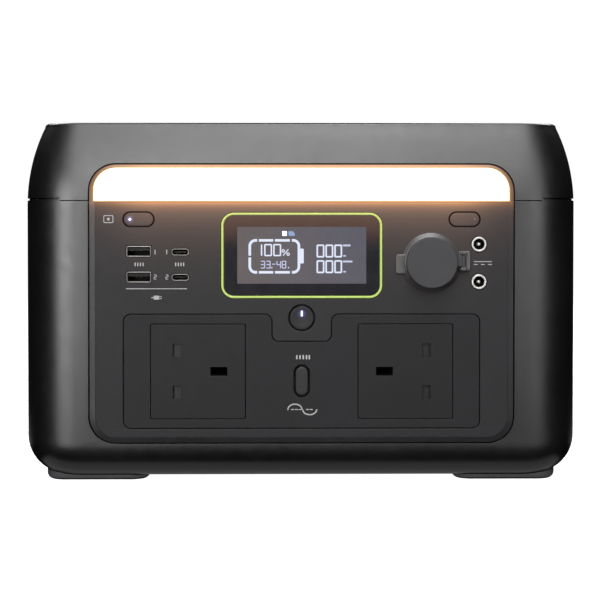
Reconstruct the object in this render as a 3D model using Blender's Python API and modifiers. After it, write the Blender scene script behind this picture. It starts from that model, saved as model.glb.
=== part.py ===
"""A portable power station: a rounded two-shell case with a front panel of outlets, a light bar across the
top of the front, a folding carry handle wrapped round the light bar, and the cells, boards and fans inside.

Metres, +Z up. The front faces -Y, +X is to the right seen from the front, and the origin lies on the ground
under the middle of the object. The sizes below are in millimetres and are scaled once, where meshes are made.
"""

import math

import bmesh
import bpy
from mathutils import Euler, Matrix, Vector

MM = 0.001

# Case: the outer form shared by both shells, the top cover and the handle.
WIDTH = 297.0
FACE_Y = -103.0  # flat front face
REAR_Y = 111.0  # flat rear face
FEET = 2.6  # height of the case's underside above the ground
CORNER_R = 34.0  # reach of the upright corners along each side
CORNER_POWER = 3.0  # they follow a superellipse of this power, fuller than a circle
SIDE_R = 21.5  # rounding of the lower left and right edges
FRONT_R = 17.0  # rounding of the lower front and rear edges
LEAN_Z = 148.0  # above this height every side leans in on an arc
LEAN_R = 98.0
TOP = 191.8
TOP_FILLET = 2.0
WALL = 2.5
SPLIT_Y = -38.0  # where the front shell meets the rear shell
CASE_TOP = 150.3  # outer rim of the shells
CASE_CEILING = 147.0
LEDGE_TOP = 151.2  # raised ledge inside that rim, which closes the shadow gap
LEDGE_INSET = 1.0
SHOULDER_TOP = 149.8  # where the handle's feet rest
SHOULDER_X = 127.5
COVER_BOTTOM = 151.5  # lower edge of the cover's skirt and of the handle's arms
GAP = 0.3

# Rubber feet.
FOOT_X = 109.5
FOOT_SIZE = (56.0, 22.0)
FOOT_ROUND = 3.0
FOOT_TOP = 9.0

# Front panel and the light bar.
PANEL_X = 112.5
PANEL_BOTTOM = 21.6
PANEL_TOP = 169.2
PANEL_R = 14.0
PANEL_BACK = -100.0
RIM_WIDTH = 3.2
RIM_DROP = 0.6
SEAM = 0.5
LAMP_X = 110.3
LAMP_Z = (149.6, 167.6)
LAMP_R = 12.0

# Carry handle: turns about an axle across the case.
AXLE_Y = 5.0
AXLE_Z = 171.9
ARM_END_R = 19.9  # rounded rear end of each arm
ARM_INNER_X = 133.3
GRIP_R = 78.0  # inner face of the grip, measured from the axle
RUN = 1.0  # running gap between the handle and the cover
AXLE_R = 4.6

# Outlets and controls on the panel: (x, z) centres.
DISPLAY = (0.0, 121.0)
DISPLAY_SIZE = (85.2, 45.2)
DISPLAY_R = 6.7
DISPLAY_RING = 1.35
USB_A = {"upper": (-86.0, 122.8), "lower": (-86.0, 109.2)}
USB_A_SIZE = (13.5, 6.4)
USB_C = {"upper": (-64.3, 122.8), "lower": (-64.3, 109.4)}
USB_C_SIZE = (9.2, 3.5)
DC_JACK = {"upper": (94.0, 126.9), "lower": (94.0, 107.0)}
CAR_SOCKET = (68.5, 117.2)
CAP_AXIS = (85.5, -106.4)  # (x, y) of the cap's upright hinge
CAP_KNUCKLE_Z = (115.0, 121.1)
HINGE_Z = 118.05
POWER_BUTTON = (0.0, 87.9)
POWER_BUTTON_D = 12.7
OVAL_BUTTON = {"usb": (-86.3, 140.1), "lamp": (86.3, 140.1)}
OVAL_SIZE = (15.6, 7.0)
AC_BUTTON = (0.0, 54.4)
AC_BUTTON_SIZE = (7.2, 16.0)
BUTTON_GAP = 0.65
BUTTON_FLANGE = 1.5

# Mains plate and its two sockets.
AC_PLATE_X = 94.3
AC_PLATE_Z = (29.4, 89.7)
AC_NOTCH = (15.9, 75.2)
AC_PLATE_R = 3.8
AC_PLATE_BACK = -98.2
SOCKET_X = 55.0
SOCKET_Z = 59.5
SOCKET_SIZE = 50.0
PIN_OFFSET = 11.1
LINE_SLOT = (4.35, 7.0)
EARTH_SLOT = (8.85, 4.6)
SHUTTER_TRAVEL = 6.0

# Battery pack and fans.
CELLS = 8
CELL = (26.4, 148.0, 93.0)
CELL_PITCH = 27.0
PACK_Y = 17.0
CELL_BASE = 10.0
FAN_SIZE = 60.0
FAN_DEPTH = 15.0
FAN_CENTRE = (137.0, 20.0, 105.0)
FAN_HOLE_R = 28.0
BLADES = 7

# Rear inlets.
INLET_X = 56.0
INLET_Z = (112.6, 145.2)
INLET_FLOOR = 98.0
FLAP_AXIS = (109.55, 114.9)
AC_INLET = (-28.0, 129.0)
DC_INLET = (12.0, 129.0)
BREAKER = (38.0, 129.0)

# Sides of round pieces.
CORNER_STEPS = 8
ROUND = 30
SMALL_ROUND = 18

# Ways a turned piece can face.
FORWARD = (0, -1, 0)
BACKWARD = (0, 1, 0)

# Base colour, roughness, metallic.
FINISHES = {
    "case_plastic": ((0.020, 0.020, 0.022), 0.45, 0.0),
    "panel_plastic": ((0.030, 0.030, 0.033), 0.50, 0.0),
    "dark_plastic": ((0.012, 0.012, 0.013), 0.40, 0.0),
    "rubber": ((0.015, 0.015, 0.016), 0.75, 0.0),
    "grey_rubber": ((0.045, 0.046, 0.050), 0.65, 0.0),
    "lamp": ((0.95, 0.90, 0.80), 0.30, 0.0),
    "white_plastic": ((0.75, 0.75, 0.72), 0.45, 0.0),
    "lime": ((0.35, 0.75, 0.03), 0.40, 0.0),
    "dark_glass": ((0.010, 0.011, 0.013), 0.08, 0.0),
    "steel": ((0.60, 0.60, 0.60), 0.30, 1.0),
    "brass": ((0.70, 0.50, 0.22), 0.30, 1.0),
    "circuit": ((0.02, 0.12, 0.05), 0.50, 0.0),
    "cell_blue": ((0.04, 0.12, 0.40), 0.40, 0.0),
    "copper": ((0.60, 0.25, 0.10), 0.35, 1.0),
    "aluminium": ((0.70, 0.70, 0.72), 0.35, 1.0),
}


def clear_scene():
    for obj in list(bpy.data.objects):
        bpy.data.objects.remove(obj, do_unlink=True)


clear_scene()
PARTS = bpy.data.collections.new("power_station")
CUTTERS = bpy.data.collections.new("cutters")
for collection in (PARTS, CUTTERS):
    bpy.context.scene.collection.children.link(collection)


# ---------------------------------------------------------------- building blocks


def link_mesh(name, bm):
    """A mesh object from bm, whose coordinates are millimetres."""
    bmesh.ops.scale(bm, vec=(MM, MM, MM), verts=bm.verts)
    bmesh.ops.recalc_face_normals(bm, faces=bm.faces)
    mesh = bpy.data.meshes.new(name)
    bm.to_mesh(mesh)
    bm.free()
    obj = bpy.data.objects.new(name, mesh)
    PARTS.objects.link(obj)
    return obj


def finish(obj, finish_name, angle=35):
    """Gives obj its own material and smooth shading between faces that meet at less than angle."""
    colour, roughness, metallic = FINISHES[finish_name]
    material = bpy.data.materials.new(f"{obj.name}_{finish_name}")
    material.use_nodes = True
    shader = material.node_tree.nodes["Principled BSDF"]
    shader.inputs["Base Color"].default_value = (*colour, 1.0)
    shader.inputs["Roughness"].default_value = roughness
    shader.inputs["Metallic"].default_value = metallic
    obj.data.materials.clear()
    obj.data.materials.append(material)
    obj.data.shade_smooth()
    obj.data.set_sharp_from_angle(angle=math.radians(angle))
    return obj


def boolean(obj, tool, operation):
    """Joins, cuts or trims obj with tool, which becomes a hidden cutter."""
    if tool.name in PARTS.objects:
        PARTS.objects.unlink(tool)
        CUTTERS.objects.link(tool)
    tool.hide_render = True
    tool.display_type = "WIRE"
    modifier = obj.modifiers.new(f"{operation.lower()} {tool.name}", "BOOLEAN")
    modifier.operation = operation
    modifier.object = tool
    return obj


def cut(obj, *tools):
    for tool in tools:
        boolean(obj, tool, "DIFFERENCE")
    return obj


def join(obj, *tools):
    for tool in tools:
        boolean(obj, tool, "UNION")
    return obj


def trim(obj, tool):
    return boolean(obj, tool, "INTERSECT")


def add_box(bm, x, y, z):
    """Adds the box between the given pairs of coordinates to bm."""
    size = Vector((x[1] - x[0], y[1] - y[0], z[1] - z[0]))
    centre = Vector((x[0] + x[1], y[0] + y[1], z[0] + z[1])) / 2
    matrix = Matrix.Translation(centre) @ Matrix.Diagonal((*size, 1.0))
    bmesh.ops.create_cube(bm, size=1.0, matrix=matrix)


def box(name, x, y, z):
    return boxes(name, [(x, y, z)])


def boxes(name, spans):
    """One object of several boxes that don't touch."""
    bm = bmesh.new()
    for x, y, z in spans:
        add_box(bm, x, y, z)
    return link_mesh(name, bm)


AXIS_TURN = {
    "X": Euler((0, math.radians(90), 0)).to_matrix().to_4x4(),
    "Y": Euler((math.radians(90), 0, 0)).to_matrix().to_4x4(),
    "Z": Matrix.Identity(4),
}


def cylinder(name, centre, radius, length, axis, steps=ROUND):
    bm = bmesh.new()
    matrix = Matrix.Translation(Vector(centre)) @ AXIS_TURN[axis]
    bmesh.ops.create_cone(
        bm, cap_ends=True, segments=steps, radius1=radius, radius2=radius, depth=length, matrix=matrix
    )
    return link_mesh(name, bm)


def prism(name, outline, span, axis="Y"):
    """Extrudes a flat outline along an axis. The outline is (x, z) for Y, (y, z) for X and (x, y) for Z."""
    place = {
        "X": lambda u, v, w: (w, u, v),
        "Y": lambda u, v, w: (u, w, v),
        "Z": lambda u, v, w: (u, v, w),
    }[axis]
    bm = bmesh.new()
    face = bm.faces.new([bm.verts.new(place(u, v, span[0])) for u, v in outline])
    grown = bmesh.ops.extrude_face_region(bm, geom=[face])["geom"]
    top = [v for v in grown if isinstance(v, bmesh.types.BMVert)]
    bmesh.ops.translate(bm, verts=top, vec=place(0, 0, span[1] - span[0]))
    return link_mesh(name, bm)


def loft(name, rings):
    """Skins between rings of equally many points and closes both ends."""
    bm = bmesh.new()
    rows = [[bm.verts.new(point) for point in ring] for ring in rings]
    for low, high in zip(rows, rows[1:]):
        for k in range(len(low)):
            after = (k + 1) % len(low)
            bm.faces.new((low[k], low[after], high[after], high[k]))
    bm.faces.new(rows[0])
    bm.faces.new(rows[-1])
    return link_mesh(name, bm)


def arc(centre, radius, start, end, steps):
    """Points on an arc, angles in degrees."""
    points = []
    for k in range(steps + 1):
        a = math.radians(start + (end - start) * k / steps)
        points.append((centre[0] + radius * math.cos(a), centre[1] + radius * math.sin(a)))
    return points


def rounded_rect(centre, size, radius, steps=6):
    """Rectangle outline with one radius, or with a (lower, upper) pair of them; 0 keeps a sharp corner."""
    lower, upper = radius if isinstance(radius, tuple) else (radius, radius)
    points = []
    for sx, sy, start in ((1, 1, 0), (-1, 1, 90), (-1, -1, 180), (1, -1, 270)):
        r = upper if sy > 0 else lower
        corner = (centre[0] + sx * (size[0] / 2 - r), centre[1] + sy * (size[1] / 2 - r))
        points += arc(corner, r, start, start + 90, steps) if r else [corner]
    return points


def upright_outline(half_width, bottom, top, radius):
    """A symmetric outline between two heights, with a radius or a (lower, upper) pair of radii."""
    centre = (0, (bottom + top) / 2)
    return rounded_rect(centre, (2 * half_width, top - bottom), radius, 8)


def turned(name, profile, origin, facing, steps=ROUND, closed=False):
    """A turned piece. Its profile is (radius, height along facing), outer side running down."""
    mesh = bpy.data.meshes.new(name)
    points = [(r * MM, 0, h * MM) for r, h in profile]
    edges = [(k, k + 1) for k in range(len(points) - 1)]
    if closed:
        edges.append((len(points) - 1, 0))
    mesh.from_pydata(points, edges, [])
    obj = bpy.data.objects.new(name, mesh)
    PARTS.objects.link(obj)
    obj.location = Vector(origin) * MM
    obj.rotation_euler = Vector((0, 0, 1)).rotation_difference(Vector(facing)).to_euler()
    screw = obj.modifiers.new("turn", "SCREW")
    screw.axis = "Z"
    screw.steps = steps
    screw.render_steps = steps
    screw.use_merge_vertices = True
    screw.merge_threshold = 0.00002
    screw.use_smooth_shade = True
    return obj


def move_origin(obj, point):
    """Moves the object's origin to point, in millimetres, and leaves its shape where it is."""
    target = Vector(point) * MM
    obj.data.transform(Matrix.Translation(obj.location - target))
    obj.location = target


# ---------------------------------------------------------------- the outer form


def skin_inset(z, bottom_radius, offset):
    """How far the skin, moved inwards by offset, lies inside the full size at height z."""
    centre = FEET + bottom_radius
    if z < centre:
        reach = bottom_radius - offset
        return bottom_radius - math.sqrt(max(reach**2 - (centre - z) ** 2, 0))
    if z > LEAN_Z:
        return LEAN_R - math.sqrt((LEAN_R - offset) ** 2 - (z - LEAN_Z) ** 2)
    return offset


def skin_ring(z, offset=0.0, extra=0.0):
    """The form's outline at height z: a rectangle with superelliptic corners that all share fixed centres."""
    side = skin_inset(z, SIDE_R, offset) + extra
    end = skin_inset(z, FRONT_R, offset) + extra
    points = []
    for sx, sy, start in ((1, 1, 0), (-1, 1, 90), (-1, -1, 180), (1, -1, 270)):
        cx = sx * (WIDTH / 2 - CORNER_R)
        cy = REAR_Y - CORNER_R if sy > 0 else FACE_Y + CORNER_R
        for k in range(CORNER_STEPS + 1):
            a = math.radians(start + 90 * k / CORNER_STEPS)
            u, v = fuller(math.cos(a)), fuller(math.sin(a))
            points.append((cx + (CORNER_R - side) * u, cy + (CORNER_R - end) * v, z))
    return points


def fuller(part):
    """Turns a circle's cosine or sine into the superellipse's."""
    return math.copysign(abs(part) ** (2 / CORNER_POWER), part) if abs(part) > 1e-9 else 0.0


def form_heights(low, high, offset):
    """Heights of the rings: close together on the lower rounding and on the leaning top."""
    reach = SIDE_R - offset
    lower = [FEET + SIDE_R - reach * math.cos(math.radians(15 * k)) for k in range(7)]
    upper = [LEAN_Z + 7 * k for k in range(7)]
    inside = [z for z in lower + upper if low + 0.2 < z < high - 0.2]
    return [low] + sorted(inside) + [high]


def form(name, low, high, offset=0.0):
    return loft(name, [skin_ring(z, offset) for z in form_heights(low, high, offset)])


def form_with_top(name, low, offset=0.0):
    """The form up to its flat top, with the small fillet round the top edge."""
    shoulder = TOP - TOP_FILLET
    rings = [skin_ring(z, offset) for z in form_heights(low, shoulder, offset)]
    rings[-1] = skin_ring(shoulder, offset)
    for degrees in (30, 60, 90):
        a = math.radians(degrees)
        rings.append(
            [
                (x, y, shoulder + (TOP_FILLET - offset) * math.sin(a))
                for x, y, _ in skin_ring(shoulder, offset, TOP_FILLET * (1 - math.cos(a)))
            ]
        )
    return loft(name, rings)


# ---------------------------------------------------------------- case


def case_shell(name):
    """The whole hollow case up to its rim and ledge, before it is divided."""
    rings = [skin_ring(z) for z in form_heights(FEET, CASE_TOP, 0)]
    rings.append(skin_ring(CASE_TOP, 0, LEDGE_INSET))
    rings.append([(x, y, LEDGE_TOP) for x, y, _ in rings[-1]])
    shell = loft(name, rings)
    cut(shell, form(f"{name}_cavity", FEET + WALL, CASE_CEILING, WALL))
    return shell


def make_front_case():
    case = case_shell("front_case")
    beyond = box("front_case_end", (-200, 200), (SPLIT_Y - GAP / 2, 200), (-10, 200))
    window = prism(
        "front_case_window",
        upright_outline(PANEL_X + SEAM, PANEL_BOTTOM - SEAM, TOP, (PANEL_R + SEAM, 0)),
        (FACE_Y - 10, -98.9),
    )
    shoulder = box("front_case_shoulder", (-SHOULDER_X, SHOULDER_X), (FACE_Y - 10, -68.0), (SHOULDER_TOP, 200))
    cut(case, beyond, window, shoulder)
    finish(case, "case_plastic")


def vent_slots(side):
    """Cutter for one side's stack of level vent slots."""
    x = (side * 140, side * 155) if side > 0 else (side * 155, side * 140)
    y = (FAN_CENTRE[1] - 28, FAN_CENTRE[1] + 28)
    heights = [FAN_CENTRE[2] + 7 * (k - 3.5) for k in range(8)]
    return boxes(f"vents_{'right' if side > 0 else 'left'}", [(x, y, (z - 1.5, z + 1.5)) for z in heights])


def make_rear_case():
    case = case_shell("rear_case")
    before = box("rear_case_end", (-200, 200), (-200, SPLIT_Y + GAP / 2), (-10, 200))
    middle = (0, sum(INLET_Z) / 2)
    window = prism(
        "rear_case_window",
        rounded_rect(middle, (2 * INLET_X, INLET_Z[1] - INLET_Z[0]), 0.8, 3),
        (104.0, 120.0),
    )
    hinge_bore = cylinder("rear_case_hinge_bore", (0, *FLAP_AXIS), 1.1, 2 * INLET_X + 4, "X", 12)
    cut(case, before, window, hinge_bore, vent_slots(-1), vent_slots(1))
    finish(case, "case_plastic")


def cover_form(name, inset):
    """The cover's outer shape, or its hollow when inset is the wall: deck, rear sides and lamp nose."""
    deck_r = GRIP_R - RUN - inset
    deck_x = ARM_INNER_X - RUN - inset
    low = COVER_BOTTOM - (5 if inset else 0)
    drop = math.degrees(math.asin((AXLE_Z - low) / deck_r))
    front = arc((AXLE_Y, AXLE_Z), deck_r, 180 + drop, 90, 20)
    deck = front + [(REAR_Y + 10, AXLE_Z + deck_r), (REAR_Y + 10, low)]
    body = prism(name, deck, (-deck_x, deck_x), "X")
    heel_r = ARM_END_R + RUN - 0.2 + inset
    drop = math.degrees(math.asin((AXLE_Z - low) / heel_r)) if inset == 0 else 90
    heel = arc((AXLE_Y, AXLE_Z), heel_r, -min(drop, 90), 0, 10)
    side = heel + [(AXLE_Y + heel_r, TOP + 10), (REAR_Y + 10, TOP + 10), (REAR_Y + 10, low)]
    if inset:
        side += [(heel[0][0], low)]
    rear = prism(f"{name}_rear", side, (-WIDTH, WIDTH), "X")
    nose_low = SHOULDER_TOP + GAP - (5 if inset else 0)
    nose_front = -95.7 - (10 if inset else 0)
    nose = prism(
        f"{name}_nose",
        upright_outline(PANEL_X - 0.2 - inset, nose_low, PANEL_TOP - inset, (0, PANEL_R - inset)),
        (nose_front, -69.0 + inset),
    )
    join(body, rear, nose)
    skin = form_with_top(f"{name}_skin", nose_low - 1, inset)
    return trim(body, skin)


def make_top_cover():
    cover = cover_form("top_cover", 0)
    cut(cover, cover_form("top_cover_hollow", WALL))
    cut(cover, cylinder("top_cover_axle_bore", (0, AXLE_Y, AXLE_Z), AXLE_R + 0.4, 2 * ARM_INNER_X + 4, "X", 24))
    finish(cover, "case_plastic")


def make_foot(name, x_side, y):
    """A rubber foot with a rounded sole, whose top follows the case's underside."""
    length, depth = FOOT_SIZE
    rings = []
    for inset, z in ((FOOT_ROUND, 0), (0.3 * FOOT_ROUND, 0.3 * FOOT_ROUND), (0, FOOT_ROUND), (0, FOOT_TOP)):
        size = (length - 2 * inset, depth - 2 * inset)
        outline = rounded_rect((x_side * FOOT_X, y), size, size[1] / 2 - 0.5, 8)
        rings.append([(u, v, z) for u, v in outline])
    foot = loft(name, rings)
    cut(foot, form(f"{name}_seat", FEET - GAP, 60, -GAP))
    finish(foot, "rubber")


# ---------------------------------------------------------------- carry handle


def make_handle():
    handle = form_with_top("carry_handle", SHOULDER_TOP + 0.5)
    inner = arc((AXLE_Y, AXLE_Z), GRIP_R, 270, 90, 28) + [(REAR_Y + 20, AXLE_Z + GRIP_R), (REAR_Y + 20, 80)]
    behind = arc((AXLE_Y, AXLE_Z), ARM_END_R, -90, 90, 16)
    behind += [(AXLE_Y, TOP + 20), (REAR_Y + 20, TOP + 20), (REAR_Y + 20, 120), (AXLE_Y, 120)]
    under = [
        (x, (-200, 200), (120, COVER_BOTTOM)) for x in ((-WIDTH, -SHOULDER_X), (SHOULDER_X, WIDTH))
    ]
    arch = upright_outline(PANEL_X + 0.6, 120, PANEL_TOP + 0.7, (0, PANEL_R + 0.6))
    cut(
        handle,
        prism("handle_inner", inner, (-ARM_INNER_X, ARM_INNER_X), "X"),
        prism("handle_behind", behind, (-WIDTH, WIDTH), "X"),
        boxes("handle_under", under),
        prism("handle_arch", arch, (-150, -40)),
        cylinder("handle_axle_bore", (0, AXLE_Y, AXLE_Z), AXLE_R + 0.4, 282.6, "X", 24),
    )
    finish(handle, "case_plastic")
    move_origin(handle, (0, AXLE_Y, AXLE_Z))


def make_handle_pin(name, side):
    """A headed axle pin, pressed into the cover's side wall from inside."""
    profile = [(0, 17.2), (3.8, 17.2), (AXLE_R, 16.4), (AXLE_R, 5.4), (8.0, 5.4), (8.0, 0), (0, 0)]
    pin = turned(name, profile, (side * 124.0, AXLE_Y, AXLE_Z), (side, 0, 0), SMALL_ROUND)
    finish(pin, "steel")


# ---------------------------------------------------------------- front panel


def make_front_panel():
    outline = upright_outline(PANEL_X, PANEL_BOTTOM, PANEL_TOP, PANEL_R)
    inner = upright_outline(
        PANEL_X - RIM_WIDTH, PANEL_BOTTOM + RIM_WIDTH, PANEL_TOP - RIM_WIDTH, PANEL_R - RIM_WIDTH
    )
    levels = ((outline, -96.0), (outline, FACE_Y + RIM_DROP), (inner, FACE_Y))
    panel = loft("front_panel", [[(x, y, z) for x, z in points] for points, y in levels])
    trim(panel, form("panel_skin", 10, 180))
    cut(panel, box("panel_back", (-200, 200), (PANEL_BACK, 0), (0, SHOULDER_TOP + GAP)))
    flange_outline = upright_outline(PANEL_X + 4, 19.0, 146.5, (PANEL_R + 2, 3.0))
    flange = prism("panel_flange", flange_outline, (PANEL_BACK - 0.2, PANEL_BACK + 1.3))
    join(panel, flange)
    holes = [
        prism(
            "panel_hole_behind",
            upright_outline(PANEL_X - 4, 24.5, 150.0, (10.0, 0)),
            (PANEL_BACK + 0.01, PANEL_BACK + 1.5),
        ),
        prism(
            "panel_hole_lamp",
            upright_outline(LAMP_X + GAP, LAMP_Z[0] - 0.4, LAMP_Z[1] + GAP, (0, LAMP_R + GAP)),
            (-120, -80),
        ),
        prism(
            "panel_hole_display",
            rounded_rect(DISPLAY, [s + 2 * GAP for s in DISPLAY_SIZE], DISPLAY_R + GAP),
            (-120, -80),
        ),
        prism("panel_hole_ac", ac_plate_outline(0.35), (-120, -80)),
        cylinder("panel_hole_car", (CAR_SOCKET[0], -100, CAR_SOCKET[1]), 13.4, 30, "Y"),
        cylinder(
            "panel_hole_power", (POWER_BUTTON[0], -100, POWER_BUTTON[1]), POWER_BUTTON_D / 2 + BUTTON_GAP, 30, "Y"
        ),
    ]
    for key, (x, z) in OVAL_BUTTON.items():
        around = stadium((x, z), [s + 2 * BUTTON_GAP for s in OVAL_SIZE])
        holes.append(prism(f"panel_hole_{key}_button", around, (-120, -80)))
    for key in ("upper", "lower"):
        usb_a = rounded_rect(USB_A[key], [s + 2 * GAP for s in USB_A_SIZE], 0.8, 2)
        usb_c = stadium(USB_C[key], [s + 2 * GAP for s in USB_C_SIZE])
        x, z = DC_JACK[key]
        holes += [
            prism(f"panel_hole_usb_a_{key}", usb_a, (-120, -80)),
            prism(f"panel_hole_usb_c_{key}", usb_c, (-120, -80)),
            cylinder(f"panel_hole_dc_{key}", (x, -100, z), 4.4, 30, "Y", 24),
        ]
    cut(panel, *holes)
    finish(panel, "panel_plastic")


def stadium(centre, size, steps=6):
    """Outline of a bar with full round ends."""
    return rounded_rect(centre, size, min(size) / 2 - 0.01, steps)


def ac_plate_outline(grow):
    """The mains plate's outline: a rectangle with a notch under the power button."""
    low, high = AC_PLATE_Z
    notch_x, notch_z = AC_NOTCH
    x, r = AC_PLATE_X + grow, AC_PLATE_R + grow
    n, nz, nr = notch_x - grow, notch_z + grow, AC_PLATE_R - grow
    high, low = high + grow, low - grow
    right = arc((x - r, low + r), r, 270, 360, 5) + arc((x - r, high - r), r, 0, 90, 5)
    right += arc((n + r, high - r), r, 90, 180, 5) + arc((n - nr, nz + nr), nr, 360, 270, 5)
    return right + [(-u, v) for u, v in reversed(right)]


def make_ac_plate():
    plate = prism("ac_plate", ac_plate_outline(0), (FACE_Y, AC_PLATE_BACK))
    flange = prism("ac_plate_flange", ac_plate_outline(3.0), (PANEL_BACK + GAP, AC_PLATE_BACK))
    join(plate, flange)
    size = SOCKET_SIZE + 2 * GAP
    for side in (-1, 1):
        outline = rounded_rect((side * SOCKET_X, SOCKET_Z), (size, size), 0.8, 2)
        cut(plate, prism(f"ac_plate_hole_{side}", outline, (-120, -80)))
    outline = stadium(AC_BUTTON, [s + 2 * BUTTON_GAP - 0.1 for s in AC_BUTTON_SIZE])
    cut(plate, prism("ac_plate_hole_button", outline, (-120, -80)))
    finish(plate, "panel_plastic")


def make_lamp():
    outline = upright_outline(LAMP_X, *LAMP_Z, (0, LAMP_R))
    lens = prism("lamp_lens", outline, (-110, -99.5))
    trim(lens, form("lamp_lens_skin", 100, 180, 0.25))
    finish(lens, "lamp")
    tray = prism("lamp_tray", upright_outline(109.0, 150.4, 166.2, (0, 11.5)), (-98.9, -86.0))
    hollow = prism("lamp_tray_hollow", upright_outline(107.2, 152.0, 164.6, (0, 9.9)), (-110, -87.8))
    cut(tray, hollow)
    finish(tray, "white_plastic")
    finish(box("lamp_led_strip", (-104, 104), (-90.6, -89.2), (155.4, 161.4)), "white_plastic")


def make_display():
    ring = prism("display_frame", rounded_rect(DISPLAY, DISPLAY_SIZE, DISPLAY_R), (FACE_Y - 0.5, -100.6))
    hole = [s - 2 * DISPLAY_RING for s in DISPLAY_SIZE]
    cut(ring, prism("display_frame_hole", rounded_rect(DISPLAY, hole, DISPLAY_R - DISPLAY_RING), (-120, -80)))
    finish(ring, "lime")
    pane = [s - 2 * GAP for s in hole]
    window = prism(
        "display_window",
        rounded_rect(DISPLAY, pane, DISPLAY_R - DISPLAY_RING - GAP),
        (FACE_Y - 0.2, FACE_Y + 1.6),
    )
    finish(window, "dark_glass")
    x, z = DISPLAY
    finish(box("lcd_module", (x - 36, x + 36), (-101.0, -96.4), (z - 17, z + 17)), "white_plastic")


def make_usb_a(key):
    """A receptacle: folded shell, open in front, with the contact tongue inside its upper half."""
    x, z = USB_A[key]
    w, h = USB_A_SIZE
    port = prism(f"usb_a_port_{key}", rounded_rect((x, z), (w, h), 0.5, 2), (FACE_Y, -88.6))
    half, rise = w / 2 - 0.5, h / 2 - 0.5
    cut(port, box(f"usb_a_cavity_{key}", (x - half, x + half), (-110, -91), (z - rise, z + rise)))
    join(port, box(f"usb_a_tongue_{key}", (x - 5.6, x + 5.6), (-101.6, -90), (z + 0.3, z + 2.0)))
    finish(port, "steel")


def make_usb_c(key):
    """A receptacle: an oval shell with a thin central tongue."""
    x, z = USB_C[key]
    w, h = USB_C_SIZE
    port = prism(f"usb_c_port_{key}", stadium((x, z), (w, h)), (FACE_Y, -88.6))
    cut(port, prism(f"usb_c_cavity_{key}", stadium((x, z), (w - 0.8, h - 0.8)), (-110, -91)))
    join(port, box(f"usb_c_tongue_{key}", (x - 3.3, x + 3.3), (-101.4, -90), (z - 0.35, z + 0.35)))
    finish(port, "steel")


def make_dc_jack(key):
    """A round jack with a centre pin, one turned body."""
    x, z = DC_JACK[key]
    profile = [
        (0, -1.4), (0.7, -1.4), (1.0, -1.9), (1.0, -10.0), (2.8, -10.0), (2.8, 0.2), (3.1, 0.5),
        (3.7, 0.5), (4.05, 0.1), (4.05, -13.0), (0, -13.0),
    ]  # fmt: skip
    finish(turned(f"dc_jack_{key}", profile, (x, FACE_Y, z), FORWARD, SMALL_ROUND), "steel")


def make_car_socket():
    x, z = CAR_SOCKET
    origin = (x, FACE_Y, z)
    barrel = [(0, -48.0), (10.6, -48.0), (10.6, -5.3), (12.0, -5.3), (12.0, -50.5), (0, -50.5)]
    finish(turned("car_socket_barrel", barrel, origin, FORWARD), "steel")
    contact = [(0, -43.5), (2.5, -43.5), (3.5, -44.2), (3.5, -47.7), (0, -47.7)]
    finish(turned("car_socket_contact", contact, origin, FORWARD, SMALL_ROUND), "brass")

    ring = [
        (10.8, 1.1), (11.2, 1.5), (13.6, 1.5), (15.2, 1.0), (15.9, 0.3), (13.0, 0.3), (13.0, -5.0), (10.8, -5.0),
    ]  # fmt: skip
    bezel = turned("car_socket_bezel", ring, origin, FORWARD, ROUND, closed=True)
    pad = prism("bezel_pad", rounded_rect((86.0, HINGE_Z), (6.8, 10.7), 1.5, 3), (FACE_Y - 1.5, FACE_Y - GAP))
    lug = prism("bezel_lug", rounded_rect((53.4, 116.4), (6.2, 10.4), 1.2, 3), (FACE_Y - 1.1, FACE_Y - GAP))
    ears = boxes(
        "bezel_ears",
        [((83.9, 87.1), (-107.8, -104.0), span) for span in ((112.9, 114.7), (121.4, 123.2))],
    )
    join(bezel, pad, lug, ears)
    cut(bezel, cylinder("bezel_pin_bore", (*CAP_AXIS, HINGE_Z), 1.0, 14, "Z", 16))
    finish(bezel, "dark_plastic")

    dome = [
        (0, 8.0), (12.3, 8.0), (12.9, 7.7), (13.2, 7.0), (13.2, 1.9), (10.0, 1.9), (10.0, -0.9),
        (0, -0.9),
    ]  # fmt: skip
    cap = turned("car_socket_cap", dome, origin, FORWARD)
    low, high = CAP_KNUCKLE_Z
    middle = (low + high) / 2
    strap = box("cap_strap", (80.5, CAP_AXIS[0]), (-107.4, -105.4), (low, high))
    knuckle = cylinder("cap_knuckle", (*CAP_AXIS, middle), 1.4, high - low, "Z", 20)
    pin = cylinder("cap_pin", (*CAP_AXIS, HINGE_Z), 0.7, 9.6, "Z", 16)
    join(cap, strap, knuckle, pin)
    finish(cap, "grey_rubber")


def make_button(name, outline, flange, back, finish_name):
    """A plunger through a plate, with a flange behind the plate's back face."""
    button = prism(name, outline, (FACE_Y - 0.3, back + GAP + 1.0))
    join(button, prism(f"{name}_flange", flange, (back + GAP, back + GAP + 1.2)))
    finish(button, finish_name)
    return button


def make_buttons():
    x, z = POWER_BUTTON
    face = arc((x, z), POWER_BUTTON_D / 2, 0, 360, ROUND)[:-1]
    flange = arc((x, z), POWER_BUTTON_D / 2 + BUTTON_GAP + BUTTON_FLANGE - 0.3, 0, 360, ROUND)[:-1]
    make_button("power_button", face, flange, PANEL_BACK, "panel_plastic")
    grow = 2 * (BUTTON_GAP + BUTTON_FLANGE - 0.3)
    for key, centre in OVAL_BUTTON.items():
        wide = stadium(centre, [s + grow for s in OVAL_SIZE])
        make_button(f"{key}_button", stadium(centre, OVAL_SIZE), wide, PANEL_BACK, "panel_plastic")
    wide = stadium(AC_BUTTON, [s + grow for s in AC_BUTTON_SIZE])
    make_button("ac_button", stadium(AC_BUTTON, AC_BUTTON_SIZE), wide, AC_PLATE_BACK, "panel_plastic")


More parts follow.
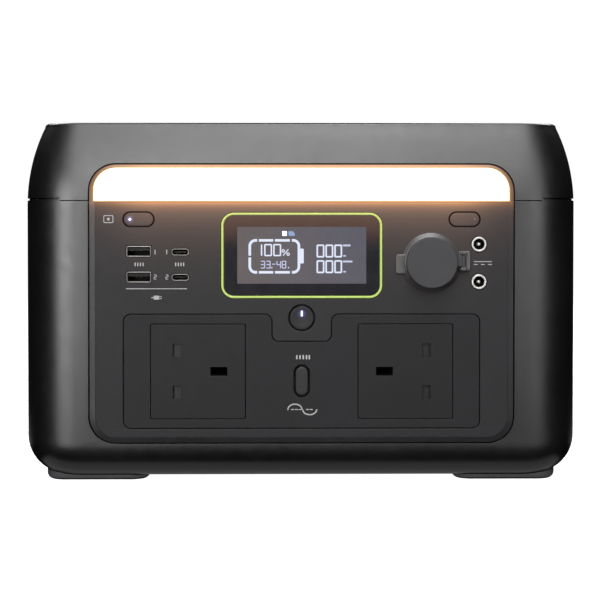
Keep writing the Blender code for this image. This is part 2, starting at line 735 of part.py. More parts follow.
def make_mains_socket(name, side):
    """A three-pin socket module with its safety shutter: earth inboard, line and neutral outboard."""
    x = side * SOCKET_X
    face = rounded_rect((x, SOCKET_Z), (SOCKET_SIZE, SOCKET_SIZE), 0.6, 2)
    socket = prism(f"socket_{name}", face, (FACE_Y, -99.5))
    body = rounded_rect((x, SOCKET_Z), (44.0, 44.0), 2.0, 3)
    join(socket, prism(f"socket_{name}_body", body, (-99.6, -72.0)))
    line_x = x + side * PIN_OFFSET
    earth_x = x - side * PIN_OFFSET
    w, h = LINE_SLOT
    slots = [
        ((line_x - w / 2, line_x + w / 2), (-120, -78), (SOCKET_Z + dz - h / 2, SOCKET_Z + dz + h / 2))
        for dz in (-PIN_OFFSET, PIN_OFFSET)
    ]
    w, h = EARTH_SLOT
    slots.append(((earth_x - w / 2, earth_x + w / 2), (-120, -76), (SOCKET_Z - h / 2, SOCKET_Z + h / 2)))
    cut(socket, boxes(f"socket_{name}_slots", slots))

    # The pocket is the shutter's own shape, swept through its travel.
    near, far = side * 49.2, side * 62.9
    end = side * (69.3 + SHUTTER_TRAVEL)
    shape = shutter_outline(near - side * 0.4, far - side * 0.4, end + side * 0.6, 0.5)
    cut(socket, prism(f"socket_{name}_pocket", shape, (-100.9, -98.3)))
    finish(socket, "panel_plastic")

    shutter = prism(f"shutter_{name}", shutter_outline(near, far, side * 69.3, 0), (-100.6, -98.6))
    finish(shutter, "dark_plastic")


def shutter_outline(near, shoulder, end, grow):
    """A T-shaped plate: an arm towards the earth slot, and a blade over the line and neutral slots."""
    arm, blade = 2.5 + grow, 15.5 + grow
    half = [(near, arm), (shoulder, arm), (shoulder, blade), (end, blade)]
    upper = [(u, SOCKET_Z + v) for u, v in half]
    lower = [(u, SOCKET_Z - v) for u, v in reversed(half)]
    return upper + lower


# ---------------------------------------------------------------- inside


def make_boards():
    finish(box("control_board", (-105, 48), (-88.0, -86.4), (93, 146)), "circuit")
    finish(box("ac_switch_board", (-14, 14), (-92.0, -90.4), (38, 72)), "circuit")
    finish(box("bms_board", (-100, 100), (-50, 84), (106.2, 107.8)), "circuit")
    finish(box("inverter_board", (-112, 112), (-46, 76), (112.0, 113.6)), "circuit")


def make_battery():
    w, d, h = CELL
    for k in range(CELLS):
        x = (k - (CELLS - 1) / 2) * CELL_PITCH
        outline = rounded_rect((x, PACK_Y), (w, d), 2.5, 3)
        cell = prism(f"battery_cell_{k + 1}", outline, (CELL_BASE, CELL_BASE + h), "Z")
        for end in (-1, 1):
            terminal = cylinder(
                f"terminal_{k + 1}_{end}", (x, PACK_Y + end * d * 0.36, CELL_BASE + h), 5.0, 4.0, "Z", 20
            )
            join(cell, terminal)
        finish(cell, "cell_blue")
    half_x, half_y = CELLS * CELL_PITCH / 2 + 3.0, d / 2 + 3.0
    tray = box("battery_tray", (-half_x, half_x), (PACK_Y - half_y, PACK_Y + half_y), (5.5, 30.0))
    hollow = box(
        "battery_tray_hollow", (-half_x + 2, half_x - 2), (PACK_Y - half_y + 2, PACK_Y + half_y - 2), (9.6, 60.0)
    )
    cut(tray, hollow)
    finish(tray, "dark_plastic")


def make_inverter_parts():
    ring = [(6, 25), (8, 28), (18, 28), (20, 26), (20, 2), (18, 0), (8, 0), (6, 3)]
    place = (-55, 10, 113.9)
    coil = turned("inverter_transformer", ring, place, (0, 0, 1), SMALL_ROUND, closed=True)
    finish(coil, "copper")
    base, height, fins, pitch = 4.0, 29.0, 11, 7.6
    left = -12.0
    outline = [(left, 0)]
    for k in range(fins):
        x = left + pitch * k
        outline += [(x, height), (x + 2.2, height)]
        if k < fins - 1:
            outline += [(x + 2.2, base), (x + pitch, base)]
    outline.append((left + pitch * (fins - 1) + 2.2, 0))
    outline = [(x, 113.9 + z) for x, z in outline]
    finish(prism("heat_sink", outline, (-30, 60)), "aluminium")


def make_fan(name, side):
    cx, cy, cz = side * FAN_CENTRE[0], FAN_CENTRE[1], FAN_CENTRE[2]
    half, inner = FAN_DEPTH / 2, -side
    outline = rounded_rect((cy, cz), (FAN_SIZE, FAN_SIZE), 4.0, 4)
    frame = prism(f"fan_frame_{name}", outline, (cx - half, cx + half), "X")
    cut(frame, cylinder(f"fan_{name}_hole", (cx, cy, cz), FAN_HOLE_R, 40, "X"))
    back = sorted((cx + inner * half, cx + inner * (half - 2.0)))
    spokes = []
    for dy, dz in ((28.5, 2.0), (2.0, 28.5)):
        spokes.append(box(f"fan_{name}_spoke_{dy}", back, (cy - dy, cy + dy), (cz - dz, cz + dz)))
    hub = cylinder(f"fan_{name}_hub", ((back[0] + back[1]) / 2, cy, cz), 11.0, 2.0, "X", 24)
    join(frame, *spokes, hub)
    finish(frame, "dark_plastic")

    middle = cx - inner * 1.0
    rotor = cylinder(f"fan_rotor_{name}", (middle, cy, cz), 11.0, 10.4, "X", 28)
    bm = bmesh.new()
    for k in range(BLADES):
        turn = Matrix.Rotation(math.tau * k / BLADES, 4, "X")
        pitch = Matrix.Rotation(math.radians(52), 4, "Z")
        place = Matrix.Translation((middle, cy, cz)) @ turn @ Matrix.Translation((0, 0, 18.3)) @ pitch
        bmesh.ops.create_cube(bm, size=1.0, matrix=place @ Matrix.Diagonal((11.5, 1.2, 16.4, 1.0)))
    join(rotor, link_mesh(f"fan_{name}_blades", bm))
    finish(rotor, "dark_plastic")
    move_origin(rotor, (cx, cy, cz))


# ---------------------------------------------------------------- rear inlets


def make_inlets():
    floor = (INLET_FLOOR - 2.0, INLET_FLOOR)
    tray = box("inlet_tray", (-58.5, 58.5), (floor[0], 108.2), (110.1, 146.7))
    cut(
        tray,
        box("inlet_tray_hollow", (-56.2, 56.2), (floor[1], 120), (112.4, 145.4)),
        prism("inlet_tray_ac_hole", rounded_rect(AC_INLET, (27.6, 20.6), 2.3, 3), (80, 120)),
        cylinder("inlet_tray_dc_hole", (DC_INLET[0], 97, DC_INLET[1]), 6.5, 10, "Y", SMALL_ROUND),
        cylinder("inlet_tray_breaker_hole", (BREAKER[0], 97, BREAKER[1]), 5.0, 10, "Y", SMALL_ROUND),
    )
    finish(tray, "dark_plastic")

    x, z = AC_INLET
    inlet = prism("ac_inlet", rounded_rect(AC_INLET, (27.0, 20.0), 2.0, 3), (82.0, 98.8))
    cut(inlet, prism("ac_inlet_cavity", rounded_rect(AC_INLET, (24.4, 16.8), 3.0, 3), (84.0, 110)))
    blades = [(x - 7, z - 2.0), (x, z + 2.5), (x + 7, z - 2.0)]
    join(inlet, boxes("ac_inlet_blades", [((u - 1, u + 1), (83.0, 96.0), (v - 2, v + 2)) for u, v in blades]))
    finish(inlet, "dark_plastic")

    bore = [
        (0, -2.0), (0.5, -2.5), (0.5, -12.0), (4.0, -12.0), (4.0, 0.6), (4.4, 1.0), (5.6, 1.0), (6.0, 0.6),
        (6.0, -14.0), (0, -14.0),
    ]  # fmt: skip
    jack = turned("dc_inlet", bore, (DC_INLET[0], INLET_FLOOR, DC_INLET[1]), BACKWARD, SMALL_ROUND)
    finish(jack, "dark_plastic")
    plunger = [(0, 4.0), (3.8, 4.0), (4.5, 3.3), (4.5, -2.3), (6.5, -2.3), (6.5, -3.8), (0, -3.8)]
    breaker = turned("breaker_button", plunger, (BREAKER[0], INLET_FLOOR, BREAKER[1]), BACKWARD, SMALL_ROUND)
    finish(breaker, "dark_plastic")

    y, z = FLAP_AXIS
    half = 1.25
    side = [(y - half, 144.7)] + arc((y, z), half, 180, 360, 8) + [(y + half, 144.7)]
    flap = prism("input_flap", side, (-INLET_X + 0.6, INLET_X - 0.6), "X")
    join(flap, cylinder("input_flap_pin", (0, y, z), 0.8, 2 * INLET_X + 3.0, "X", 16))
    finish(flap, "rubber")
    move_origin(flap, (0, y, z))


def build():
    make_front_case()
    make_rear_case()
    make_top_cover()
    make_handle()
    for name, side in (("left", -1), ("right", 1)):
        make_handle_pin(f"handle_pin_{name}", side)
        make_foot(f"foot_front_{name}", side, -80.0)
        make_foot(f"foot_rear_{name}", side, 88.0)
        make_mains_socket(name, side)
        make_fan(name, side)
    make_front_panel()
    make_ac_plate()
    make_lamp()
    make_display()
    for key in ("upper", "lower"):
        make_usb_a(key)
        make_usb_c(key)
        make_dc_jack(key)
    make_car_socket()
    make_buttons()
    make_boards()
    make_battery()
    make_inverter_parts()
    make_inlets()


build()
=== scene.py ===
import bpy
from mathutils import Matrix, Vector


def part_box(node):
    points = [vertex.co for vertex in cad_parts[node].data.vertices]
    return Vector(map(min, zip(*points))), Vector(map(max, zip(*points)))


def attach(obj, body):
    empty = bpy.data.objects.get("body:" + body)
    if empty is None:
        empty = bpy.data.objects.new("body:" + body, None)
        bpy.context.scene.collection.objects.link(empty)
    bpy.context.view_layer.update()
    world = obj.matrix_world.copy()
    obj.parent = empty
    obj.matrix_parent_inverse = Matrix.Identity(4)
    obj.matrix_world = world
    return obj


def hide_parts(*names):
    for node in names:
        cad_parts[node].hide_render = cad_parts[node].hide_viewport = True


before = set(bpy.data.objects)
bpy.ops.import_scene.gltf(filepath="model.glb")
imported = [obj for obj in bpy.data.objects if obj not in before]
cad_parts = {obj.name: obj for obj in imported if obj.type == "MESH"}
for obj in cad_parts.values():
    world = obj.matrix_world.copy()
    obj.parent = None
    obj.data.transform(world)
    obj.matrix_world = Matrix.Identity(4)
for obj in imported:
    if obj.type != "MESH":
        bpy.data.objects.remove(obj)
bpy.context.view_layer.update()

# The visual model of a portable power station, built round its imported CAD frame. Lengths below are in
# millimetres and are scaled once, where meshes are made. The front faces -Y and +Z is up.

import math
from math import cos, degrees, radians, sin, sqrt

import bmesh
import bpy
from mathutils import Vector
from mathutils.geometry import tessellate_polygon

MM = 0.001
BODY = "station"

# The outer form, as in the CAD: a rounded case whose sides lean in above LEAN_Z.
WIDTH = 297.0
FACE_Y, REAR_Y = -103.0, 111.0
FEET = 2.6
CORNER = 34.0  # reach of the upright corners, which follow a superellipse of power CORNER_POWER
CORNER_POWER = 3.0
SIDE_R, FRONT_R = 21.5, 17.0
LEAN_Z, LEAN_R = 148.0, 98.0
TOP, TOP_FILLET = 191.8, 2.0
WALL = 2.5
SPLIT_Y = -38.0
CASE_TOP, CASE_CEILING = 150.3, 147.0
LEDGE_TOP, LEDGE_INSET = 151.2, 1.0
SHOULDER_TOP, SHOULDER_X = 149.8, 127.5
COVER_BOTTOM = 151.5
GAP = 0.3
SEAM = 0.5
AXLE = AXLE_Y, AXLE_Z = 5.0, 171.9
ARM_END_R, ARM_INNER_X = 19.9, 133.3
GRIP_R, RUN = 78.0, 1.0
NOSE_X, NOSE_FRONT = 112.3, -95.7  # the part of the cover behind the light bar
BORE_R = 5.0

# The flat pieces on the front: extents, depths, radii and gaps.
PANEL_X, PANEL_LOW, PANEL_HIGH, PANEL_R = 112.5, 21.6, 169.2, 14.0
PANEL_BACK, RIM_BACK, PLATE_BACK = -100.0, -99.8, -98.2
LAMP_R = 12.0
RIM_WIDTH, RIM_DROP = 3.2, 0.7
DISPLAY_R, DISPLAY_RING = 6.7, 1.15
BUTTON_GAP = 0.65
SOCKET_HOLE_R, JACK_HOLE_R, POWER_R = 13.4, 4.4, 6.35
KEY_FLANGE = 1.2  # thickness of the flange behind each key's cap

FOOT_ROUND, FOOT_TOP = 3.6, 9.0


# ---- mesh helpers


def span(node):
    """A CAD node's lowest and highest corner in millimetres."""
    low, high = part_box(node)
    return Vector(low) / MM, Vector(high) / MM


def centre(node):
    low, high = span(node)
    return (low + high) / 2


def arc(middle, radius, start, end, steps):
    """Points on an arc, angles in degrees."""
    turns = [radians(start + (end - start) * k / steps) for k in range(steps + 1)]
    return [(middle[0] + radius * cos(a), middle[1] + radius * sin(a)) for a in turns]


def rounded_rect(middle, size, radius, steps=10):
    """Rectangle outline with one radius, or with a (lower, upper) pair of them; 0 keeps a sharp corner."""
    lower, upper = radius if isinstance(radius, tuple) else (radius, radius)
    points = []
    for sx, sy, start in ((1, 1, 0), (-1, 1, 90), (-1, -1, 180), (1, -1, 270)):
        r = upper if sy > 0 else lower
        corner = (middle[0] + sx * (size[0] / 2 - r), middle[1] + sy * (size[1] / 2 - r))
        points += arc(corner, r, start, start + 90, steps) if r else [corner]
    return points


def upright_outline(half_width, bottom, top, radius, steps=14):
    return rounded_rect((0, (bottom + top) / 2), (2 * half_width, top - bottom), radius, steps)


def stadium(middle, size, steps=14):
    return rounded_rect(middle, size, min(size) / 2 - 0.01, steps)


def circle(middle, radius, steps=64):
    return arc(middle, radius, 0, 360, steps)[:-1]


def soften(points, reach, steps=4, closed=False):
    """Rounds the corners of a line of points, each over at most reach on both sides."""
    count = len(points)
    out = []
    for k, point in enumerate(points):
        if not closed and k in (0, count - 1):
            out.append(tuple(point))
            continue
        here = Vector(point)
        before, after = Vector(points[k - 1]) - here, Vector(points[(k + 1) % count]) - here
        cut = min(reach, before.length * 0.45, after.length * 0.45)
        start, end = here + before.normalized() * cut, here + after.normalized() * cut
        for j in range(steps + 1):
            t = j / steps
            out.append(tuple((1 - t) ** 2 * start + 2 * t * (1 - t) * here + t**2 * end))
    return out


def linked(name, data):
    obj = bpy.data.objects.new(name, data)
    bpy.context.scene.collection.objects.link(obj)
    return obj


def smooth_object(name, bm, angle=None):
    """An object from bm, smooth except at edges sharper than angle."""
    mesh = bpy.data.meshes.new(name)
    bm.to_mesh(mesh)
    bm.free()
    mesh.shade_smooth()
    if angle:
        mesh.set_sharp_from_angle(angle=radians(angle))
    return linked(name, mesh)


def new_piece(name, bm, angle=40, shape=None):
    """A mesh object from bm in millimetres, smooth between faces that meet below angle."""
    if shape:
        for v in bm.verts:
            v.co = shape(v.co)
    bmesh.ops.remove_doubles(bm, verts=bm.verts, dist=1e-4)
    bmesh.ops.recalc_face_normals(bm, faces=bm.faces)
    bmesh.ops.scale(bm, vec=(MM, MM, MM), verts=bm.verts)
    return smooth_object(name, bm, angle)


def skin(bm, low, high, count=None):
    """Faces between two rows of points, all the way round or only the first count of them."""
    for k in range(count or len(low)):
        after = (k + 1) % len(low)
        bm.faces.new((low[k], low[after], high[after], high[k]))


def loft(name, rings, closed_loop=False, **options):
    """Skins between rings of equally many points."""
    bm = bmesh.new()
    rows = [[bm.verts.new(point) for point in ring] for ring in rings]
    pairs = list(zip(rows, rows[1:]))
    if closed_loop:
        pairs.append((rows[-1], rows[0]))
    for low, high in pairs:
        skin(bm, low, high)
    if not closed_loop:
        bm.faces.new(rows[0])
        bm.faces.new(rows[-1])
    return new_piece(name, bm, **options)


# Where a point (u, v) of a flat outline lies at depth w along each axis.
AXES = {
    "X": lambda u, v, w: (w, u, v),
    "Y": lambda u, v, w: (u, w, v),
    "Z": lambda u, v, w: (u, v, w),
}


def prism(name, outline, low, high, axis="Y"):
    """Extrudes a flat outline."""
    return loft(name, [[AXES[axis](u, v, w) for u, v in outline] for w in (low, high)])


def box(name, x, y, z):
    outline = [(x[0], y[0]), (x[1], y[0]), (x[1], y[1]), (x[0], y[1])]
    return prism(name, outline, z[0], z[1], "Z")


def signed_area(outline):
    return sum(a[0] * b[1] - b[0] * a[1] for a, b in zip(outline, outline[1:] + outline[:1])) / 2


def moved_out(outline, distance):
    """The outline moved to the right of its direction by distance."""
    out = []
    count = len(outline)
    for k in range(count):
        before = Vector(outline[k]) - Vector(outline[k - 1])
        after = Vector(outline[(k + 1) % count]) - Vector(outline[k])
        n1 = Vector((before[1], -before[0])).normalized()
        n2 = Vector((after[1], -after[0])).normalized()
        mitre = (n1 + n2) / max(1 + n1.dot(n2), 0.3)
        out.append((outline[k][0] + mitre[0] * distance, outline[k][1] + mitre[1] * distance))
    return out


def plate(name, outlines, front, back, edge=0.2, steps=3, axis="Y", **options):
    """A flat piece between two depths. The first outline is its rim and the rest are holes. Their front edges
    are rounded by edge, one value or one for each outline."""
    edges = edge if isinstance(edge, (list, tuple)) else [edge] * len(outlines)
    turn = 1 if back > front else -1
    bm = bmesh.new()
    caps = ([], [])
    for k, outline in enumerate(outlines):
        if (signed_area(outline) > 0) != (k == 0):
            outline = outline[::-1]
        turns = [radians(90 * j / steps) for j in range(steps + 1)]
        profile = [(edges[k] * (1 - sin(a)), edges[k] * (1 - cos(a))) for a in turns]
        profile.append((0, abs(back - front)))
        rows = []
        for inset, depth in profile:
            level = front + turn * depth
            rows.append([bm.verts.new(AXES[axis](u, v, level)) for u, v in moved_out(outline, -inset)])
        for low, high in zip(rows, rows[1:]):
            skin(bm, low, high)
        caps[0].append(rows[0])
        caps[1].append(rows[-1])
    for rows in caps:
        flat = [v for row in rows for v in row]
        for triangle in tessellate_polygon([[v.co.copy() for v in row] for row in rows]):
            corners = [flat[index] for index in triangle]
            if len(set(corners)) == 3 and not bm.faces.get(corners):
                bm.faces.new(corners)
    return new_piece(name, bm, **options)


FACING = {
    "forward": lambda x, y, z: lambda r, h, c, s: (x + r * c, y - h, z + r * s),
    "backward": lambda x, y, z: lambda r, h, c, s: (x + r * c, y + h, z + r * s),
    "up": lambda x, y, z: lambda r, h, c, s: (x + r * c, y + r * s, z + h),
    "right": lambda x, y, z: lambda r, h, c, s: (x + h, y + r * c, z + r * s),
    "left": lambda x, y, z: lambda r, h, c, s: (x - h, y + r * c, z + r * s),
}


def turned(name, profile, origin, facing="forward", steps=72, closed=False, round_by=0.0, **options):
    """A turned piece. Its profile is (radius, height along facing)."""
    if round_by:
        profile = soften(profile, round_by, 3, closed)
    place = FACING[facing](*origin)
    bm = bmesh.new()
    rows = []
    for k in range(steps):
        c, s = cos(math.tau * k / steps), sin(math.tau * k / steps)
        rows.append([bm.verts.new(place(r, h, c, s)) for r, h in profile])
    last = len(profile) if closed else len(profile) - 1
    for k in range(steps):
        skin(bm, rows[k], rows[(k + 1) % steps], last)
    bmesh.ops.remove_doubles(bm, verts=bm.verts, dist=1e-4)
    loose = [f for f in bm.faces if f.calc_area() < 1e-9]
    bmesh.ops.delete(bm, geom=loose, context="FACES")
    return new_piece(name, bm, **options)


def boolean(obj, tools, operation):
    """Cuts, joins or trims obj with other pieces, which are used up."""
    for tool in tools:
        modifier = obj.modifiers.new("boolean", "BOOLEAN")
        modifier.operation = operation
        modifier.solver = "EXACT"
        modifier.object = tool
    graph = bpy.context.evaluated_depsgraph_get()
    mesh = bpy.data.meshes.new_from_object(obj.evaluated_get(graph))
    obj.modifiers.clear()
    obj.data = mesh
    for tool in tools:
        bpy.data.objects.remove(tool, do_unlink=True)
    return obj


def cut(obj, *tools):
    return boolean(obj, tools, "DIFFERENCE")


def join(obj, *tools):
    return boolean(obj, tools, "UNION")


def trim(obj, *tools):
    return boolean(obj, tools, "INTERSECT")


def soft_edges(obj, width, segments=2, angle=32):
    """Rounds every edge sharper than angle and smooths the shading."""
    weld = obj.modifiers.new("weld", "WELD")
    weld.merge_threshold = 0.00001
    bevel = obj.modifiers.new("edges", "BEVEL")
    bevel.width = width * MM
    bevel.segments = segments
    bevel.angle_limit = radians(angle)
    normals = obj.modifiers.new("normals", "WEIGHTED_NORMAL")
    normals.keep_sharp = True
    normals.weight = 80
    return obj


def merged(name, objects, angle=None):
    """One object from several."""
    bm = bmesh.new()
    for obj in objects:
        bm.from_mesh(obj.data)
        bpy.data.objects.remove(obj, do_unlink=True)
    return smooth_object(name, bm, angle)


# ---- materials


class Graph:
    """Builds a material's nodes with few words."""

    def __init__(self, name):
        self.material = bpy.data.materials.new(name)
        self.material.use_nodes = True
        self.tree = self.material.node_tree
        self.shader = self.tree.nodes["Principled BSDF"]
        self.place = self.tree.nodes.new("ShaderNodeTexCoord").outputs["Object"]

    def node(self, kind, inputs=None, **settings):
        node = self.tree.nodes.new(f"ShaderNode{kind}")
        for key, value in settings.items():
            setattr(node, key, value)
        for key, value in (inputs or {}).items():
            self.feed(node.inputs[key], value)
        return node

    def feed(self, socket, value):
        if isinstance(value, bpy.types.NodeSocket):
            self.tree.links.new(value, socket)
        else:
            socket.default_value = value

    def math(self, operation, *values, clamp=False):
        node = self.node("Math", operation=operation, use_clamp=clamp)
        for socket, value in zip(node.inputs, values):
            self.feed(socket, value)
        return node.outputs[0]

    def times(self, *values):
        return self.math("MULTIPLY", *values)

    def noise(self, size, detail=2.0, roughness=0.5, stretch=None):
        """Noise whose features are about size millimetres."""
        place = self.place
        if stretch:
            place = self.node("Mapping", {"Vector": place, "Scale": stretch}).outputs[0]
        node = self.node("TexNoise", {"Vector": place, "Scale": 1 / (size * MM), "Detail": detail})
        node.inputs["Roughness"].default_value = roughness
        return node.outputs["Fac"]

    def remap(self, value, low, high, to_low=0.0, to_high=1.0, smooth=False):
        node = self.node("MapRange", {"Value": value})
        node.interpolation_type = "SMOOTHSTEP" if smooth else "LINEAR"
        for key, number in zip(("From Min", "From Max", "To Min", "To Max"), (low, high, to_low, to_high)):
            node.inputs[key].default_value = number
        return node.outputs["Result"]

    def patches(self, size, low=0.0, high=1.0):
        """Soft patches between two levels."""
        return self.remap(self.noise(size), 0.3, 0.7, low, high)

    def blend(self, factor, a, b, **settings):
        node = self.node("Mix", data_type="RGBA", **settings)
        self.feed(node.inputs["Factor"], factor)
        for key, value in (("A", a), ("B", b)):
            socket = [s for s in node.inputs if s.name == key and s.type == "RGBA"][0]
            self.feed(socket, value if isinstance(value, bpy.types.NodeSocket) else (*value, 1.0))
        return [s for s in node.outputs if s.type == "RGBA"][0]

    def scaled(self, vector, factor):
        return self.node("VectorMath", {0: vector, "Scale": factor}, operation="SCALE").outputs[0]

    def total(self, first, *others):
        for other in others:
            first = self.node("VectorMath", {0: first, 1: other}, operation="ADD").outputs[0]
        return first

    def bump(self, height, strength, distance, normal=None):
        node = self.node("Bump", {"Height": height, "Strength": strength, "Distance": distance * MM})
        if normal:
            self.feed(node.inputs["Normal"], normal)
        return node.outputs[0]

    def set(self, **values):
        """Sets or links the shader's own sockets."""
        for key, value in values.items():
            self.feed(self.shader.inputs[key.replace("_", " ").title().replace("Ior", "IOR")], value)
        return self


CASE_BLACK = (0.0043, 0.0041, 0.0046)
PANEL_BLACK = (0.0135, 0.0128, 0.0145)
BUTTON_BLACK = (0.0150, 0.0143, 0.0160)
GLYPH_GREY = (0.10, 0.10, 0.11)
SILVER = (0.62, 0.60, 0.58)
# Middles of the indicators on the front, and the glow round each lit one: place, colour and reach.
USB_LIGHT, LAMP_LIGHT, POWER_LIGHT = (-90.85, 140.15), (91.6, 140.3), (0.05, 90.2)
USB_GLOW = (USB_LIGHT, (0.22, 0.20, 0.60), 1.25)
POWER_GLOW = (POWER_LIGHT, (0.10, 0.12, 0.42), 1.5)
# The amber light that the light bar throws on the panel: colour, strength and reach.
WASHES = (((1.0, 0.40, 0.10), 0.80, 1.6), ((1.0, 0.56, 0.36), 0.25, 10.5))


def tinted(colour, factor):
    return tuple(min(c * factor, 1.0) for c in colour)


def moulded(name, colour, roughness=0.45, grain=0.45, depth=0.05, strength=0.35, specular=0.5, vary=0.12):
    """Moulded plastic or rubber with a spark-eroded grain, faint cloudiness and slightly uneven gloss."""
    g = Graph(name)
    fine = g.noise(grain, 3.0, 0.6)
    cloud = g.noise(38.0, 3.0, 0.55)
    tone = g.blend(g.remap(cloud, 0.3, 0.7), tinted(colour, 1 - vary), tinted(colour, 1 + vary))
    speck = g.remap(g.noise(grain * 0.6, 1.0), 0.35, 0.65)
    uneven = g.math("ADD", cloud, g.noise(5.0))
    return g.set(
        base_color=g.blend(g.times(speck, 0.25), tone, tinted(colour, 1.9)),
        roughness=g.remap(uneven, 0.6, 1.4, roughness - 0.04, roughness + 0.05),
        normal=g.bump(fine, strength, depth),
        specular_ior_level=specular,
    )


def brushed(name, colour, roughness=0.3, stretch=(1, 1, 18), depth=0.01):
    """Metal with fine drawn lines."""
    g = Graph(name)
    lines = g.noise(0.5, 4.0, 0.6, stretch)
    return g.set(
        base_color=g.blend(g.remap(lines, 0.3, 0.7), tinted(colour, 0.86), tinted(colour, 1.1)),
        roughness=g.patches(6.0, roughness - 0.06, roughness + 0.08),
        normal=g.bump(lines, 0.25, depth),
        metallic=1.0,
    )


def glowing(name, colour, light, strength, vary=0.06):
    """A lit piece whose light varies a little over its surface."""
    g = Graph(name)
    patch = g.patches(9.0)
    return g.set(
        base_color=g.blend(patch, tinted(colour, 0.92), colour),
        emission_color=g.blend(patch, tinted(light, 1 - vary), light),
        emission_strength=strength,
        roughness=0.35,
    )


def front_place(g):
    """A shader's position in millimetres."""
    parts = g.node("SeparateXYZ", {"Vector": g.place})
    return [g.math("DIVIDE", parts.outputs[axis], MM) for axis in "XYZ"]


def port_shell():
    """A port's plated shell, bright at its lip, with painted shade inside: its colour is painted black from a
    little way in.
    """
    g = brushed("port_shell", (0.50, 0.48, 0.46), 0.42)
    lip = span("usb_a_port_upper")[0].y
    painted_shade = g.remap(front_place(g)[1], lip + 0.2, lip + 0.5)
    plating = g.shader.inputs["Base Color"].links[0].from_socket
    return g.set(
        base_color=g.blend(painted_shade, plating, (0.004, 0.003, 0.003)),
        metallic=g.remap(painted_shade, 0, 1, 0.5, 0.0),
        specular_ior_level=g.remap(painted_shade, 0, 1, 0.5, 0.1),
    )


def lamp_distance(g, x, z):
    """Distance outside the light bar's outline, negative inside it."""
    low, high = span("lamp_lens")
    side = g.math("SUBTRACT", g.math("ABSOLUTE", x), high.x - LAMP_R)
    up = g.math("SUBTRACT", z, high.z - LAMP_R)
    out = [g.math("MAXIMUM", value, 0.0) for value in (side, up)]
    corner = g.math("SQRT", g.math("ADD", *[g.times(value, value) for value in out]))
    inner = g.math("MINIMUM", g.math("MAXIMUM", side, up), 0.0)
    reach = g.math("SUBTRACT", g.math("ADD", corner, inner), LAMP_R)
    return g.math("MAXIMUM", reach, g.math("SUBTRACT", low.z, z))


def indicator_glow(g, x, z, middle, colour, size):
    """Light that falls off round an indicator."""
    steps = [g.math("DIVIDE", g.math("SUBTRACT", value, at), size) for value, at in zip((x, z), middle)]
    square = g.math("ADD", *[g.times(step, step) for step in steps])
    return g.scaled(colour, g.math("EXPONENT", g.times(square, -1.0)))


def lamp_wash(g, glow=None):
    """Adds the amber wash that fades away from the light bar; gaps sunk in the panel stay dark."""
    x, y, z = front_place(g)
    away = g.math("MAXIMUM", lamp_distance(g, x, z), 0.0)
    ends = g.remap(g.math("ABSOLUTE", x), 78.0, 114.0, 1.0, 0.3, True)
    sunk = g.times(g.remap(y, FACE_Y + 0.1, FACE_Y + 0.5), g.remap(z, 146.5, 147.0, 1, 0))
    sunk = g.times(sunk, g.remap(g.math("ABSOLUTE", x), 108.4, 108.8, 1, 0))
    level = g.times(ends, g.math("SUBTRACT", 1.0, sunk))
    washes = []
    for colour, strength, reach in WASHES:
        fade = g.math("EXPONENT", g.math("DIVIDE", away, -reach))
        washes.append(g.scaled(colour, g.times(strength, fade)))
    light = g.scaled(g.total(*washes), level)
    if glow:
        light = g.total(light, indicator_glow(g, x, z, *glow))
    return g.set(emission_color=light, emission_strength=1.0)


def panel_material(name="panel_plastic", colour=PANEL_BLACK, roughness=0.58, specular=0.36, glow=None):
    return lamp_wash(moulded(name, colour, roughness, specular=specular), glow=glow)


def lamp_material():
    """Lit diffuser: white in the middle, warmer and dimmer at its edges."""
    g = Graph("lit_diffuser")
    x, _, z = front_place(g)
    inside = g.times(lamp_distance(g, x, z), -1.0)
    edge = g.remap(inside, 0.0, 2.6, 0.0, 1.0, True)
    patch = g.times(g.patches(12.0, 0.96, 1.04), edge)
    return g.set(
        base_color=g.blend(patch, (0.85, 0.70, 0.50), (0.9, 0.87, 0.80)),
        emission_color=g.blend(patch, (1.0, 0.60, 0.26), (1.0, 0.90, 0.76)),
        emission_strength=g.remap(patch, 0.0, 1.0, 0.75, 7.0),
        roughness=0.35,
    )


def display_material():
    """Dark display glass with the grey active area behind it and a little amber from the light bar."""
    g = Graph("display_glass")
    x, _, z = front_place(g)
    low, high = span("lcd_module")
    half, bottom, top = high.x - 2.0, low.z + 2.2, high.z - 2.0
    limits = ((g.math("ABSOLUTE", x), half), (z, top))
    inside = g.times(*[g.remap(value, limit, limit + 0.25, 1, 0) for value, limit in limits])
    inside = g.times(inside, g.remap(z, bottom - 0.25, bottom, 0, 1))
    across = g.blend(g.remap(x, -half, half), (0.112, 0.092, 0.090), (0.078, 0.078, 0.104))
    mottle = g.blend(g.patches(3.0), (0.93, 0.93, 0.93), (1, 1, 1))
    lit = g.blend(1.0, across, mottle, blend_type="MULTIPLY")
    wash = g.blend(g.remap(z, 122.0, 144.0, smooth=True), (0.006, 0.006, 0.008), (0.115, 0.062, 0.042))
    return g.set(
        base_color=g.blend(inside, (0.012, 0.011, 0.013), (0.035, 0.033, 0.036)),
        emission_color=g.blend(inside, wash, lit),
        emission_strength=1.0,
        roughness=g.patches(8.0, 0.14, 0.20),
    )


def lime_material():
    """Lime ring with a painted glow, painted warmer towards the light bar as painted light from it."""
    g = moulded("lime_ring", (0.30, 0.36, 0.09), 0.42, 0.4, 0.02, 0.2, vary=0.05)
    painted_lamp_light = g.remap(front_place(g)[2], 124.0, 143.0)
    return g.set(emission_color=g.blend(painted_lamp_light, (0.36, 0.55, 0.12), (0.60, 0.60, 0.16)), emission_strength=0.52)


